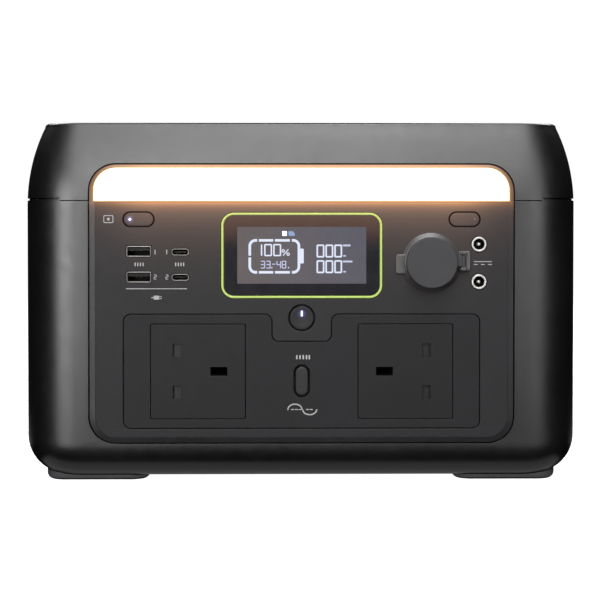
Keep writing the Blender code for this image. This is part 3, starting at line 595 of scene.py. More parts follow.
def board_material():
    """Solder mask over a maze of tracks, with a scatter of pads."""
    g = Graph("circuit_board")
    place = {"Vector": g.place, "Scale": 160.0}
    cells = g.node("TexVoronoi", place, feature="DISTANCE_TO_EDGE", distance="CHEBYCHEV")
    tracks = g.remap(cells.outputs["Distance"], 0.03, 0.06)
    dots = g.node("TexVoronoi", {"Vector": g.place, "Scale": 260.0})
    pads = g.remap(dots.outputs["Distance"], 0.16, 0.2, 1, 0)
    mask = g.blend(tracks, (0.010, 0.070, 0.028), (0.016, 0.115, 0.046))
    return g.set(
        base_color=g.blend(pads, mask, (0.50, 0.46, 0.36)),
        roughness=g.remap(pads, 0, 1, 0.42, 0.3),
        metallic=g.times(pads, 0.8),
        normal=g.bump(tracks, 0.4, 0.05),
    )


def wrap_material():
    """Blue heat-shrink film, slightly wrinkled."""
    g = Graph("cell_wrap")
    return g.set(
        base_color=g.blend(g.patches(25.0), (0.022, 0.075, 0.27), (0.034, 0.105, 0.35)),
        roughness=g.patches(9.0, 0.28, 0.42),
        normal=g.bump(g.noise(14.0, 3.0, 0.6, (1, 1, 0.25)), 0.5, 0.3),
    )


MATERIALS = {
    "case": moulded("case_plastic", CASE_BLACK, 0.34, specular=0.80),
    "panel": panel_material(),
    "rim": panel_material("rim_plastic", roughness=0.42, specular=0.7),
    "washed": panel_material("washed_button", BUTTON_BLACK),
    "usb_face": panel_material("usb_button_face", BUTTON_BLACK, glow=USB_GLOW),
    "power_face": panel_material("power_button_face", (0.0135, 0.0128, 0.0142), glow=POWER_GLOW),
    "mains": moulded("mains_plastic", (0.0135, 0.0128, 0.0144), 0.58, specular=0.28),
    "socket": moulded("socket_plastic", (0.0085, 0.0080, 0.0092), 0.55, 0.35, specular=0.32),
    "button": moulded("button_plastic", BUTTON_BLACK, 0.50, 0.3, 0.03, specular=0.42),
    "trim": moulded("trim_plastic", (0.006, 0.006, 0.007), 0.36, 0.3, 0.03),
    "bezel": moulded("bezel_plastic", (0.052, 0.047, 0.047), 0.38, 0.4, 0.03, specular=0.9),
    "rubber": moulded("foot_rubber", (0.060, 0.058, 0.062), 0.62, 0.7, 0.08, 0.5, 0.4),
    "cap": moulded("cap_rubber", (0.040, 0.039, 0.042), 0.62, 0.5, 0.05, 0.4, 0.4),
    "flap": moulded("flap_rubber", (0.020, 0.020, 0.022), 0.58, 0.6, 0.06, 0.45, 0.4),
    "inner": moulded("inner_plastic", (0.012, 0.012, 0.013), 0.5, 0.6, 0.05),
    "tongue": moulded("port_insulator", (0.005, 0.004, 0.004), 0.5, 0.3, 0.02, specular=0.3),
    "unlit": moulded("unlit_indicator", (0.13, 0.12, 0.11), 0.4, 0.3, 0.01),
    "red": moulded("reset_plastic", (0.42, 0.020, 0.016), 0.38, 0.5, 0.02),
    "white": moulded("reflector_plastic", (0.72, 0.71, 0.68), 0.4, 0.8, 0.03, vary=0.05),
    "print": moulded("printed_ink", (0.40, 0.39, 0.40), 0.55, 0.4, 0.01, 0.2, 0.4),
    "jack": moulded("jack_plating", SILVER, 0.42, 0.3, 0.01, 0.1, 0.5, 0.05).set(metallic=0.6),
    "steel": brushed("plated_steel", SILVER, 0.28),
    "dark_steel": brushed("blackened_steel", (0.10, 0.10, 0.105), 0.4),
    "shell": port_shell(),
    "brass": brushed("contact_brass", (0.72, 0.50, 0.20), 0.26),
    "copper": brushed("coil_copper", (0.62, 0.26, 0.11), 0.34, (1, 1, 14), 0.08),
    "aluminium": brushed("sink_aluminium", (0.66, 0.66, 0.68), 0.36, (1, 22, 1), 0.02),
    "lamp": lamp_material(),
    "lime": lime_material(),
    "display": display_material(),
    "glyph": glowing("display_glyph", GLYPH_GREY, (0.66, 0.72, 0.88), 1.0),
    "faint": glowing("display_small_glyph", GLYPH_GREY, (0.46, 0.49, 0.72), 1.0),
    "blue": glowing("display_blue", (0.10, 0.12, 0.16), (0.15, 0.25, 0.46), 1.0),
    "led": glowing("white_indicator", (0.8, 0.8, 0.9), (0.80, 0.80, 1.0), 1.6),
    "board": board_material(),
    "wrap": wrap_material(),
}


# ---- placing pieces


def paint(obj, material):
    obj.data.materials.clear()
    obj.data.materials.append(MATERIALS[material].material)


def finish_piece(obj, material, replaces=(), body=BODY):
    paint(obj, material)
    if not any(modifier.type == "WEIGHTED_NORMAL" for modifier in obj.modifiers):
        normals = obj.modifiers.new("normals", "WEIGHTED_NORMAL")
        normals.keep_sharp = True
    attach(obj, body)
    if replaces:
        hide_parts(*replaces)
    return obj


# ---- outer form


def skin_inset(z, bottom_radius, offset):
    """How far the skin, moved inwards by offset, lies inside the full size at height z."""
    middle = FEET + bottom_radius
    if z < middle:
        return bottom_radius - sqrt(max((bottom_radius - offset) ** 2 - (middle - z) ** 2, 0))
    if z > LEAN_Z:
        return LEAN_R - sqrt((LEAN_R - offset) ** 2 - (z - LEAN_Z) ** 2)
    return offset


def lean(co):
    """Moves a point of a flat front piece back with the leaning top of the case."""
    return Vector((co.x, co.y + (skin_inset(co.z, FRONT_R, 0) if co.z > LEAN_Z else 0), co.z))


def skin_ring(z, offset=0.0, extra=0.0, steps=22):
    side = skin_inset(z, SIDE_R, offset) + extra
    end = skin_inset(z, FRONT_R, offset) + extra
    power = 2 / CORNER_POWER
    points = []
    for sx, sy, start in ((1, 1, 0), (-1, 1, 90), (-1, -1, 180), (1, -1, 270)):
        cx = sx * (WIDTH / 2 - CORNER)
        cy = REAR_Y - CORNER if sy > 0 else FACE_Y + CORNER
        for k in range(steps + 1):
            a = radians(start + 90 * k / steps)
            c, s = cos(a), sin(a)
            u = math.copysign(abs(c) ** power if abs(c) > 1e-9 else 0, c)
            v = math.copysign(abs(s) ** power if abs(s) > 1e-9 else 0, s)
            points.append((cx + (CORNER - side) * u, cy + (CORNER - end) * v, z))
    return points


def form_heights(low, high, offset):
    reach = SIDE_R - offset
    lower = [FEET + SIDE_R - reach * cos(radians(6 * k)) for k in range(16)]
    upper = [LEAN_Z + 3.5 * k for k in range(14)]
    inside = [z for z in lower + upper if low + 0.2 < z < high - 0.2]
    return [low] + sorted(inside) + [high]


def form(name, low, high, offset=0.0):
    return loft(name, [skin_ring(z, offset) for z in form_heights(low, high, offset)])


def form_with_top(name, low, offset=0.0):
    shoulder = TOP - TOP_FILLET
    rings = [skin_ring(z, offset) for z in form_heights(low, shoulder, offset)]
    for turn in (15, 30, 45, 60, 75, 90):
        a = radians(turn)
        rings.append(
            [
                (x, y, shoulder + (TOP_FILLET - offset) * sin(a))
                for x, y, _ in skin_ring(shoulder, offset, TOP_FILLET * (1 - cos(a)))
            ]
        )
    return loft(name, rings)


def case_shell(name):
    rings = [skin_ring(z) for z in form_heights(FEET, CASE_TOP, 0)]
    rings.append(skin_ring(CASE_TOP, 0, LEDGE_INSET))
    rings.append([(x, y, LEDGE_TOP) for x, y, _ in rings[-1]])
    return cut(loft(name, rings), form(f"{name}_cavity", FEET + WALL, CASE_CEILING, WALL))


def make_front_case():
    case = case_shell("case_front_shell")
    window = upright_outline(PANEL_X + SEAM, PANEL_LOW - SEAM, TOP, (PANEL_R + SEAM, 0))
    cut(
        case,
        box("end", (-200, 200), (SPLIT_Y - GAP / 2, 200), (-10, 200)),
        prism("window", window, FACE_Y - 10, -98.9),
        box("shoulder", (-SHOULDER_X, SHOULDER_X), (FACE_Y - 10, -68.0), (SHOULDER_TOP, 200)),
    )
    soft_edges(case, 0.4)
    finish_piece(case, "case", ("front_case",))


VENTS, VENT_PITCH = 8, 7


def make_rear_case():
    case = case_shell("case_rear_shell")
    window = rounded_rect((0, 128.9), (112.0, 32.6), 0.8, 4)
    tools = [
        box("end", (-200, 200), (-200, SPLIT_Y + GAP / 2), (-10, 200)),
        prism("window", window, 104.0, 120.0),
    ]
    fan = centre("fan_frame_left")
    for side in (-1, 1):
        for k in range(VENTS):
            z = fan.z + VENT_PITCH * (k - (VENTS - 1) / 2)
            slot = stadium((fan.y, z), (56.0, 3.0), 5)
            tools.append(prism(f"vent_{side}_{k}", slot, side * 140, side * 155, "X"))
    cut(case, *tools)
    soft_edges(case, 0.4)
    finish_piece(case, "case", ("rear_case",))


def cover_form(name, inset):
    """The cover's outer shape, or its hollow when inset is the wall: deck, rear sides and lamp nose."""
    deck_r = GRIP_R - RUN - inset
    deck_x = ARM_INNER_X - RUN - inset
    low = COVER_BOTTOM - (5 if inset else 0)
    drop = degrees(math.asin((AXLE_Z - low) / deck_r))
    deck = arc(AXLE, deck_r, 180 + drop, 90, 64)
    deck += [(REAR_Y + 10, AXLE_Z + deck_r), (REAR_Y + 10, low)]
    body = prism(name, deck, -deck_x, deck_x, "X")
    heel_r = ARM_END_R + RUN - 0.2 + inset
    drop = degrees(math.asin((AXLE_Z - low) / heel_r)) if inset == 0 else 90
    heel = arc(AXLE, heel_r, -min(drop, 90), 0, 24)
    side = heel + [(AXLE_Y + heel_r, TOP + 10), (REAR_Y + 10, TOP + 10), (REAR_Y + 10, low)]
    if inset:
        side += [(heel[0][0], low)]
    rear = prism(f"{name}_rear", side, -WIDTH, WIDTH, "X")
    nose_low = SHOULDER_TOP + GAP - (5 if inset else 0)
    nose_front = NOSE_FRONT - (10 if inset else 0)
    outline = upright_outline(NOSE_X - inset, nose_low, PANEL_HIGH - inset, (0, PANEL_R - inset))
    nose = prism(f"{name}_nose", outline, nose_front, -69.0 + inset)
    join(body, rear, nose)
    return trim(body, form_with_top(f"{name}_skin", nose_low - 1, inset))


def make_top_cover():
    cover = cover_form("cover_shell", 0)
    bore = prism("bore", circle(AXLE, BORE_R, 48), -ARM_INNER_X - 2, ARM_INNER_X + 2, "X")
    cut(cover, cover_form("hollow", WALL), bore)
    # A shallow groove frames the flat deck.
    sizes = (((216.0, 118.0), 16.0), ((213.6, 115.6), 14.8))
    groove = [rounded_rect((0, 36.0), size, radius, 12) for size, radius in sizes]
    cut(cover, plate("groove", groove, TOP + 1.0, TOP - 0.7, 0.0, 1, "Z"))
    soft_edges(cover, 0.5)
    finish_piece(cover, "case", ("top_cover",))


def make_handle():
    handle = form_with_top("handle_grip", SHOULDER_TOP + 0.5)
    inner = arc(AXLE, GRIP_R, 270, 90, 72)
    inner += [(REAR_Y + 20, AXLE_Z + GRIP_R), (REAR_Y + 20, 80)]
    behind = arc(AXLE, ARM_END_R, -90, 90, 40)
    behind += [(AXLE_Y, TOP + 20), (REAR_Y + 20, TOP + 20), (REAR_Y + 20, 120), (AXLE_Y, 120)]
    arch = upright_outline(113.1, 120, 169.9, (0, PANEL_R + 0.6), 20)
    cut(
        handle,
        prism("inner", inner, -ARM_INNER_X, ARM_INNER_X, "X"),
        prism("behind", behind, -WIDTH, WIDTH, "X"),
        box("under_left", (-WIDTH, -SHOULDER_X), (-200, 200), (120, COVER_BOTTOM)),
        box("under_right", (SHOULDER_X, WIDTH), (-200, 200), (120, COVER_BOTTOM)),
        prism("arch", arch, -150, -40),
        prism("bore", circle(AXLE, BORE_R, 48), -141.3, 141.3, "X"),
    )
    for side in (-1, 1):
        ring = [circle(AXLE, r, 64) for r in (10.0, 9.1)]
        groove = plate("groove", ring, side * 150.0, side * 144.4, 0.0, 1, "X")
        cut(handle, groove)
    soft_edges(handle, 0.55, 3)
    finish_piece(handle, "case", ("carry_handle",), "handle")


# ---- front panel


def ac_outline(grow=0.0, radius=3.8):
    """The mains plate's outline: a rectangle with a notch under the power button."""
    x, low, high = 94.3 + grow, 29.4 - grow, 89.7 + grow
    n, nz, r, nr = 15.9 - grow, 75.2 + grow, radius + grow, radius - grow
    right = arc((x - r, low + r), r, 270, 360, 10) + arc((x - r, high - r), r, 0, 90, 10)
    right += arc((n + r, high - r), r, 90, 180, 10) + arc((n - nr, nz + nr), nr, 360, 270, 10)
    return right + [(-u, v) for u, v in reversed(right)]


def flat(node):
    """A node's centre and size seen from the front."""
    low, high = span(node)
    return ((low.x + high.x) / 2, (low.z + high.z) / 2), (high.x - low.x, high.z - low.z)


def grown(size, by):
    return [s + 2 * by for s in size]


def filled_in(points, guide):
    """Adds points to the long sides of a ring, the same ones for every ring with the same guide."""
    out = []
    for k, a in enumerate(points):
        b = points[(k + 1) % len(points)]
        out.append(a)
        count = int(math.dist(guide[k], guide[(k + 1) % len(points)]) // 4.0)
        for j in range(1, count + 1):
            t = j / (count + 1)
            out.append((a[0] + (b[0] - a[0]) * t, a[1] + (b[1] - a[1]) * t))
    return out


def port_face(node):
    """Centre and size of a port's shell seen from the front."""
    (x, z), (width, height) = flat(node)
    if "usb_a" in node:
        return (x - 0.2, z + 0.35), (width - 0.5, height - 0.8)
    return (x, z), (width, height)


BUTTONS = {
    "power_button": ("power_key", (0.0, 87.9), (2 * POWER_R, 2 * POWER_R)),
    "usb_button": ("usb_key", (-86.3, 140.1), (15.6, 7.0)),
    "lamp_button": ("lamp_key", (86.3, 140.1), (15.6, 7.0)),
    "ac_button": ("ac_key", (0.0, 54.4), (7.2, 16.0)),
}
PORTS = ("usb_a_port_upper", "usb_a_port_lower", "usb_c_port_upper", "usb_c_port_lower")
JACKS = ("dc_jack_upper", "dc_jack_lower")


def make_front_panel():
    lamp_low, lamp_high = span("lamp_lens")
    outer = upright_outline(PANEL_X, PANEL_LOW, PANEL_HIGH, PANEL_R, 20)
    inner_x, inner_r = PANEL_X - RIM_WIDTH, PANEL_R - RIM_WIDTH
    inner = upright_outline(inner_x, PANEL_LOW + RIM_WIDTH, PANEL_HIGH - RIM_WIDTH, inner_r, 20)
    top = lamp_low.z - 0.42
    face = [p for p in inner if p[1] < top]
    left, right = [p for p in face if p[0] < 0], [p for p in face if p[0] > 0]
    face = [(-inner_x, top)] + left + right + [(inner_x, top)]
    display, display_size = flat("display_frame")
    holes = [
        (rounded_rect(display, grown(display_size, GAP), DISPLAY_R + GAP), 0.12),
        (ac_outline(0.35), 0.3),
        (circle(flat("car_socket_barrel")[0], SOCKET_HOLE_R), 0.2),
        (circle(BUTTONS["power_button"][1], POWER_R + BUTTON_GAP), 0.5),
    ]
    for key in ("usb_button", "lamp_button"):
        _, middle, size = BUTTONS[key]
        holes.append((stadium(middle, grown(size, BUTTON_GAP)), 0.5))
    for node in PORTS:
        middle, size = port_face(node)
        size = grown(size, GAP)
        holes.append((rounded_rect(middle, size, 0.8, 4) if "usb_a" in node else stadium(middle, size), 0.2))
    holes += [(circle(flat(node)[0], JACK_HOLE_R, 48), 0.2) for node in JACKS]
    outlines = [face] + [outline for outline, _ in holes]
    edges = [0.12] + [edge for _, edge in holes]
    panel = plate("panel_face", outlines, FACE_Y, PANEL_BACK, edges, 3, angle=30)
    finish_piece(panel, "panel", ("front_panel",))

    edge = FACE_Y + RIM_DROP
    levels = [
        (inner, FACE_Y + 0.12), (moved_out(inner, 0.12), FACE_Y), (moved_out(outer, -0.5), edge - 0.1),
        (moved_out(outer, -0.15), edge), (outer, edge + 0.25), (outer, RIM_BACK), (inner, RIM_BACK),
    ]  # fmt: skip
    rings = [[(x, y, z) for x, z in filled_in(points, outer)] for points, y in levels]
    rim = loft("panel_rim", rings, closed_loop=True, shape=lean, angle=25)
    hole = upright_outline(110.6, top + 0.02, lamp_high.z + GAP, (0, 12.3), 20)
    cut(rim, prism("lamp_hole", hole, -120, -80))
    rim.data.set_sharp_from_angle(angle=radians(25))
    finish_piece(rim, "rim")


def make_mains_plate():
    outlines, edges = [ac_outline()], [0.3]
    for node in ("socket_left", "socket_right"):
        middle, size = flat(node)
        outlines.append(rounded_rect(middle, grown(size, GAP), 0.9, 4))
        edges.append(0.2)
    _, middle, size = BUTTONS["ac_button"]
    outlines.append(stadium(middle, grown(size, BUTTON_GAP - 0.05)))
    edges.append(0.5)
    front = plate("front", outlines, FACE_Y, PLATE_BACK, edges, 3, angle=30)
    flange = [ac_outline(3.0), ac_outline(-1.0)]
    back = plate("back", flange, PLATE_BACK - 1.5, PLATE_BACK, 0.1, 1, angle=30)
    piece = merged("mains_plate", [front, back], 30)
    finish_piece(piece, "mains", ("ac_plate",))


def make_lamp():
    low, high = span("lamp_lens")
    half, r, edge = high.x, LAMP_R, 0.45
    steps = [(low.z, edge), (low.z + 0.3 * edge, 0.3 * edge)]
    steps += [(low.z + edge + (high.z - low.z - 2 * edge) * k / 30, 0) for k in range(31)]
    steps += [(high.z - 0.3 * edge, 0.3 * edge), (high.z, edge)]
    rings = []
    for z, back in steps:
        rise = max(z - (high.z - r), 0)
        w = half - r + sqrt(max(r * r - rise * rise, 0))
        y = FACE_Y + skin_inset(z, FRONT_R, 0.25) + back
        front = [(-w + edge + (2 * w - 2 * edge) * k / 40, y) for k in range(41)]
        end = [(w - 0.3 * edge, y + 0.3 * edge), (w, y + edge), (w, high.y)]
        rings.append([(u, v, z) for u, v in front + end + [(-u, v) for u, v in reversed(end)]])
    lens = loft("lamp_diffuser", rings, angle=50)
    finish_piece(lens, "lamp", ("lamp_lens",))


# ---- thin marks: display and print


def ribbon(points, width, round_ends=True):
    """The outline of a stroke along an open line of points."""
    sides = ([], [])
    for k, point in enumerate(points):
        here = Vector(point)
        before = (here - Vector(points[k - 1])).normalized() if k else None
        after = (Vector(points[k + 1]) - here).normalized() if k < len(points) - 1 else None
        before, after = before or after, after or before
        n1, n2 = Vector((before[1], -before[0])), Vector((after[1], -after[0]))
        mitre = (n1 + n2) / max(1 + n1.dot(n2), 0.4) * width / 2
        sides[0].append(tuple(here + mitre))
        sides[1].append(tuple(here - mitre))
    if not round_ends:
        return sides[0] + sides[1][::-1]
    outline = list(sides[0])
    for end, inner in ((points[-1], points[-2]), (points[0], points[1])):
        way = degrees(math.atan2(end[1] - inner[1], end[0] - inner[0]))
        outline += arc(end, width / 2, way - 90, way + 90, 8)[1:-1]
        outline += sides[1][::-1] if end == points[-1] else []
    return outline


def marks(name, outlines, material, front=FACE_Y, thick=0.05, body=BODY):
    """Thin raised marks, each from a list of outlines: its rim and any holes."""
    parts = []
    for k, group in enumerate(outlines):
        group = group if isinstance(group[0], list) else [group]
        parts.append(plate(f"{name}_{k}", group, front - thick, front + thick, 0.01, 1))
    return finish_piece(merged(name, parts, 40), material, body=body)


SEGMENTS = {"0": "abcdef", "1": "bc", "2": "abged", "3": "abgcd", "4": "fgbc", "8": "abcdefg", "-": "g"}


def digit(char, x, z, w, h, t):
    """A digit in lit bars whose lower left corner is (x, z)."""
    left, right, low, high, middle = x + t / 2, x + w - t / 2, z + t / 2, z + h - t / 2, z + h / 2
    gap = t * 0.28
    lines = {
        "a": ((left + gap, high), (right - gap, high)),
        "b": ((right, high - gap), (right, middle + gap)),
        "c": ((right, middle - gap), (right, low + gap)),
        "d": ((left + gap, low), (right - gap, low)),
        "e": ((left, middle - gap), (left, low + gap)),
        "f": ((left, high - gap), (left, middle + gap)),
        "g": ((left + gap, middle), (right - gap, middle)),
    }
    return [ribbon(lines[key], t) for key in SEGMENTS[char]]


def make_display():
    middle, size = flat("display_frame")
    low, _ = span("display_frame")
    opening = grown(size, -DISPLAY_RING)
    inner_r = DISPLAY_R - DISPLAY_RING
    outlines = [rounded_rect(middle, size, DISPLAY_R, 16), rounded_rect(middle, opening, inner_r, 16)]
    ring = plate("display_ring", outlines, low.y, -100.6, 0.3, 3)
    finish_piece(ring, "lime", ("display_frame",))
    pane_low, pane_high = span("display_window")
    pane = [rounded_rect(middle, grown(opening, -GAP), inner_r - GAP, 16)]
    glass = plate("display_pane", pane, pane_low.y, pane_high.y, 0.12, 2)
    finish_piece(glass, "display", ("display_window",))

    # The battery symbol is eight bars with gaps, and a nub at its right end.
    l, r, b, t, c = -27.5, -1.5, 112.1, 129.0, 3.0
    corners = (
        [(l, 120.9)] + arc((l + c, t - c), c, 180, 90, 8) + [(-23.6, t)],
        [(-5.2, t)] + arc((r - c, t - c), c, 90, 0, 8) + [(r, 120.5)],
        [(r, 120.5)] + arc((r - c, b + c), c, 360, 270, 8) + [(-5.2, b)],
        [(-23.6, b)] + arc((l + c, b + c), c, 270, 180, 8) + [(l, 120.0)],
    )
    bars = [ribbon(points, 1.4, False) for points in corners]
    for z in (b, t):
        bars += [ribbon([(-22.7, z), (-15.1, z)], 1.3, False), ribbon([(-14.2, z), (-6.3, z)], 1.3, False)]
    bars.append(rounded_rect((-0.1, 120.7), (2.3, 7.9), 0.6, 4))
    figures = []
    for char, x in (("1", -25.1), ("0", -19.9), ("0", -15.1)):
        figures += digit(char, x, 120.6, 4.2, 6.5, 0.74)
    for row in (119.9, 111.6):
        for x in (7.8, 12.5, 17.2):
            figures += digit("0", x, row, 4.2, 6.9, 0.84)
    small = []
    for char, x in (("3", -21.8), ("3", -18.9), ("4", -13.4), ("8", -10.6)):
        small += digit(char, x, 114.1, 2.4, 4.1, 0.50)
    small.append(ribbon([(-15.4, 116.4), (-14.2, 116.4)], 0.5))
    small += [circle((x, 114.5), 0.42, 16) for x in (-15.9, -7.0)]
    figures.append(ribbon([(-9.8, 121.0), (-7.2, 124.1)], 0.5))
    figures += [[circle((x, z), 0.9, 20), circle((x, z), 0.4, 20)] for x, z in ((-9.8, 123.4), (-7.2, 121.7))]
    signs = [ribbon([(22.1, z), (22.1 + w, z)], 1.0) for z, w in ((126.3, 3.3), (117.8, 4.3))]
    signs += [rounded_rect((22.7, z), (1.5, 0.8), 0.3, 3) for z in (120.8, 112.4)]
    fan = [(-7.0, 131.4)] + arc((-6.8, 131.4), 3.2, 0, 50, 8) + [(-7.0, 133.8)]
    for name, outlines, material in (
        ("battery", bars, "glyph"),
        ("figures", figures, "glyph"),
        ("small_marks", small + signs, "faint"),
        ("lit_square", [rounded_rect((-9.1, 132.6), (2.4, 2.4), 0.2, 3)], "led"),
        ("blue_mark", [fan], "blue"),
    ):
        marks(f"display_{name}", outlines, material, pane_low.y)


def make_print():
    lamp = (-102.2, 140.25)
    frame_mark = [rounded_rect(lamp, (5.2, 4.1), 0.6, 4), rounded_rect(lamp, (4.4, 3.3), 0.3, 4)]
    ink = [frame_mark, circle(lamp, 0.75, 20)]
    for x in (-77.6, -71.4):
        ink.append(ribbon([(x, 121.8), (x, 123.8)], 0.5))
        ink += digit("2", x - 0.7, 108.3, 1.5, 2.6, 0.36)
    for x in (-86.0, -64.6):
        ink += [ribbon([(x + dx, 115.6), (x + dx, 117.0)], 0.6) for dx in (-2.1, -0.7, 0.7, 2.1)]
    ink.append(ribbon([(-92.8, 103.4), (-60.9, 103.4)], 0.42))
    ink.append(rounded_rect((-76.9, 98.7), (2.9, 2.1), 0.4, 3))
    ink += [ribbon([(-75.2, z), (-74.2, z)], 0.4) for z in (98.2, 99.2)]
    ink.append(ribbon([(-79.4, 98.7), (-78.5, 98.7)], 0.45))
    ink.append(ribbon([(91.4, 117.7), (100.6, 117.7)], 0.42))
    ink += [ribbon([(x, 116.2), (x + 1.7, 116.2)], 0.42) for x in (91.4, 95.15, 98.9)]
    marks("panel_print", ink, "print")
    halves = (arc((-3.6, 39.2), 3.75, 180, 10, 20), arc((4.2, 39.5), 3.75, 190, 352, 20))
    level = 39.3
    wave = [ribbon([(x, level + 0.78 * (z - level)) for x, z in half], 0.68) for half in halves]
    wave += [ribbon([(x, level), (x + 1.2, level)], 0.5) for x in (-5.4, -3.4, -1.4, 2.4, 4.4)]
    wave += [ribbon([(x, 66.3), (x, 67.9)], 0.8) for x in (-2.6, -0.9, 0.8, 2.5, 4.0)]
    marks("mains_print", wave, "print")


# ---- buttons, ports and outlets


def make_buttons():
    for node, (body, middle, size) in BUTTONS.items():
        low, high = span(node)
        flange_front = high.y - KEY_FLANGE
        if node == "power_button":
            h, flange, back = FACE_Y - low.y, FACE_Y - flange_front, FACE_Y - high.y
            profile = [
                (0, h - 0.34), (1.6, h - 0.32), (3.2, h - 0.2), (4.6, h - 0.04), (5.6, h), (6.1, h - 0.08),
                (POWER_R, h - 0.4), (POWER_R, flange), (8.2, flange), (8.2, back), (0, back),
            ]  # fmt: skip
            piece = turned("power_key_cap", profile, (middle[0], FACE_Y, middle[1]), angle=32)
        else:
            face = grown(size, -0.3) if node == "ac_button" else size
            cap = plate("cap", [stadium(middle, face, 18)], low.y, flange_front + 0.2, 0.55, 4)
            flange = plate("flange", [stadium(middle, grown(size, 1.8), 18)], flange_front, high.y, 0.1, 1)
            piece = merged(node.replace("button", "key_cap"), [cap, flange], 32)
        faces = {"usb_button": "usb_face", "lamp_button": "washed", "power_button": "power_face"}
        finish_piece(piece, faces.get(node, "button"), (node,), body)
    for key, outline, material, rise, thick in (
        ("power_key", stadium(POWER_LIGHT, (0.9, 3.0), 8), "led", 0.12, 0.06),
        ("usb_key", circle(USB_LIGHT, 0.66, 24), "led", 0.3, 0.04),
        ("lamp_key", circle(LAMP_LIGHT, 0.5, 24), "unlit", 0.3, 0.02),
        ("ac_key", circle((0.2, 59.6), 0.9, 24), "inner", 0.3, 0.02),
    ):
        marks(f"{key}_light", [outline], material, FACE_Y - rise, thick, key)


def make_ports():
    for node in PORTS:
        low, high = span(node)
        middle, size = port_face(node)
        name = node.replace("_port", "")
        if "usb_a" in node:
            outlines = [rounded_rect(middle, size, 0.9, 5), rounded_rect(middle, grown(size, -0.42), 0.5, 5)]
            tongue, contacts = (5.6, 0.3, 2.0), [(x, 0.3, 0.55) for x in (-3.5, -1.2, 1.2, 3.5)]
        else:
            outlines = [stadium(middle, size), stadium(middle, grown(size, -0.32))]
            tongue, contacts = (3.3, -0.35, 0.35), [(x * 0.55, -0.35, 0.22) for x in range(-4, 5)]
        shell = plate("shell", outlines, low.y, high.y - 2.4, 0.22, 3)
        wall = plate("wall", [outlines[0]], high.y - 2.4, high.y, 0.05, 1)
        shell = merged(f"{name}_shell", [shell, wall], 35)
        finish_piece(shell, "shell", (node,))
        x, z = middle
        half, bottom, top = tongue
        outline = rounded_rect((x, z + (bottom + top) / 2), (2 * half, top - bottom), 0.2, 3)
        blade = plate(f"{name}_tongue", [outline], low.y + 1.4, high.y - 2.3, 0.15, 2)
        finish_piece(blade, "tongue")
        strips = [rounded_rect((x + dx, z + dz), (2 * w, 0.12), 0.03, 2) for dx, dz, w in contacts]
        pins = [plate("pin", [strip], low.y + 1.9, high.y - 2.5, 0.02, 1) for strip in strips]
        finish_piece(merged(f"{name}_contacts", pins), "brass")
    for node in JACKS:
        (x, z), _ = flat(node)
        origin = (x, FACE_Y, z)
        ring = [
            (2.85, -3.0), (2.85, 0.25), (3.1, 0.5), (3.75, 0.5), (4.05, 0.2), (4.05, -13.0), (3.2, -13.0),
            (3.2, -3.0),
        ]  # fmt: skip
        piece = turned(f"{node}_ring", ring, origin, closed=True, round_by=0.12, angle=50)
        finish_piece(piece, "jack", (node,))
        well = [(0, -9.6), (2.7, -9.6), (2.7, -0.4), (2.83, -0.4), (2.83, -12.8), (0, -12.8)]
        finish_piece(turned(f"{node}_well", well, origin, angle=50), "tongue")
        pin = [(0, -0.8), (0.6, -0.85), (0.95, -1.3), (0.95, -9.5), (0, -9.5)]
        finish_piece(turned(f"{node}_pin", pin, origin, steps=40, round_by=0.2), "jack")


def make_car_socket():
    (x, z), _ = flat("car_socket_barrel")
    origin = (x, FACE_Y, z)
    barrel = [(0, -48.0), (10.6, -48.0), (10.6, -5.6), (10.9, -5.3), (12.0, -5.3), (12.0, -50.5), (0, -50.5)]
    tube = turned("car_barrel", barrel, origin, angle=50)
    finish_piece(tube, "steel", ("car_socket_barrel",))
    contact = [(0, -43.2), (1.6, -43.4), (3.0, -44.4), (3.5, -45.2), (3.5, -47.7), (0, -47.7)]
    button = turned("car_contact", contact, origin, round_by=0.3)
    finish_piece(button, "brass", ("car_socket_contact",))
    ring = [
        (10.8, 0.9), (11.2, 1.5), (13.5, 1.5), (15.6, 0.45), (15.9, 0.2), (15.9, 0.02), (13.0, 0.02),
        (13.0, -5.0), (10.8, -5.0),
    ]  # fmt: skip
    bezel = turned("bezel", ring, origin, closed=True, round_by=0.25, angle=50)
    seat = FACE_Y - 0.02
    pad = plate("pad", [rounded_rect((86.1, 118.05), (6.6, 10.7), 1.2, 6)], FACE_Y - 1.5, seat, 0.5, 3)
    hinge = (85.5, -106.4)
    ears = [
        plate("ear", [rounded_rect((hinge[0], level), (3.2, 1.8), 0.3, 3)], -107.7, -104.2, 0.4, 2)
        for level in (113.8, 122.3)
    ]
    lug = plate("lug", [rounded_rect((52.9, 116.4), (6.2, 10.4), 1.2, 6)], FACE_Y - 1.1, seat, 0.4, 3)
    piece = merged("car_bezel", [bezel, pad, lug] + ears, 40)
    finish_piece(piece, "bezel", ("car_socket_bezel",))

    dome = [
        (0, 8.0), (7.0, 7.98), (12.9, 7.94), (13.3, 7.8), (13.5, 7.5), (13.5, 7.0), (13.5, 2.0), (10.0, 1.9),
        (10.0, -0.9), (0, -0.9),
    ]  # fmt: skip
    disc = turned("disc", dome, origin, steps=96, round_by=0.3, angle=50)
    strap = plate("strap", [rounded_rect((83.1, 118.05), (5.4, 5.9), 0.8, 4)], -107.3, -105.5, 0.35, 2)
    knuckle = prism("knuckle", circle(hinge, 1.4, 24), 115.1, 121.0, "Z")
    cap = merged("car_cap_rubber", [disc, strap, knuckle], 45)
    finish_piece(cap, "cap", ("car_socket_cap",), "car_cap")


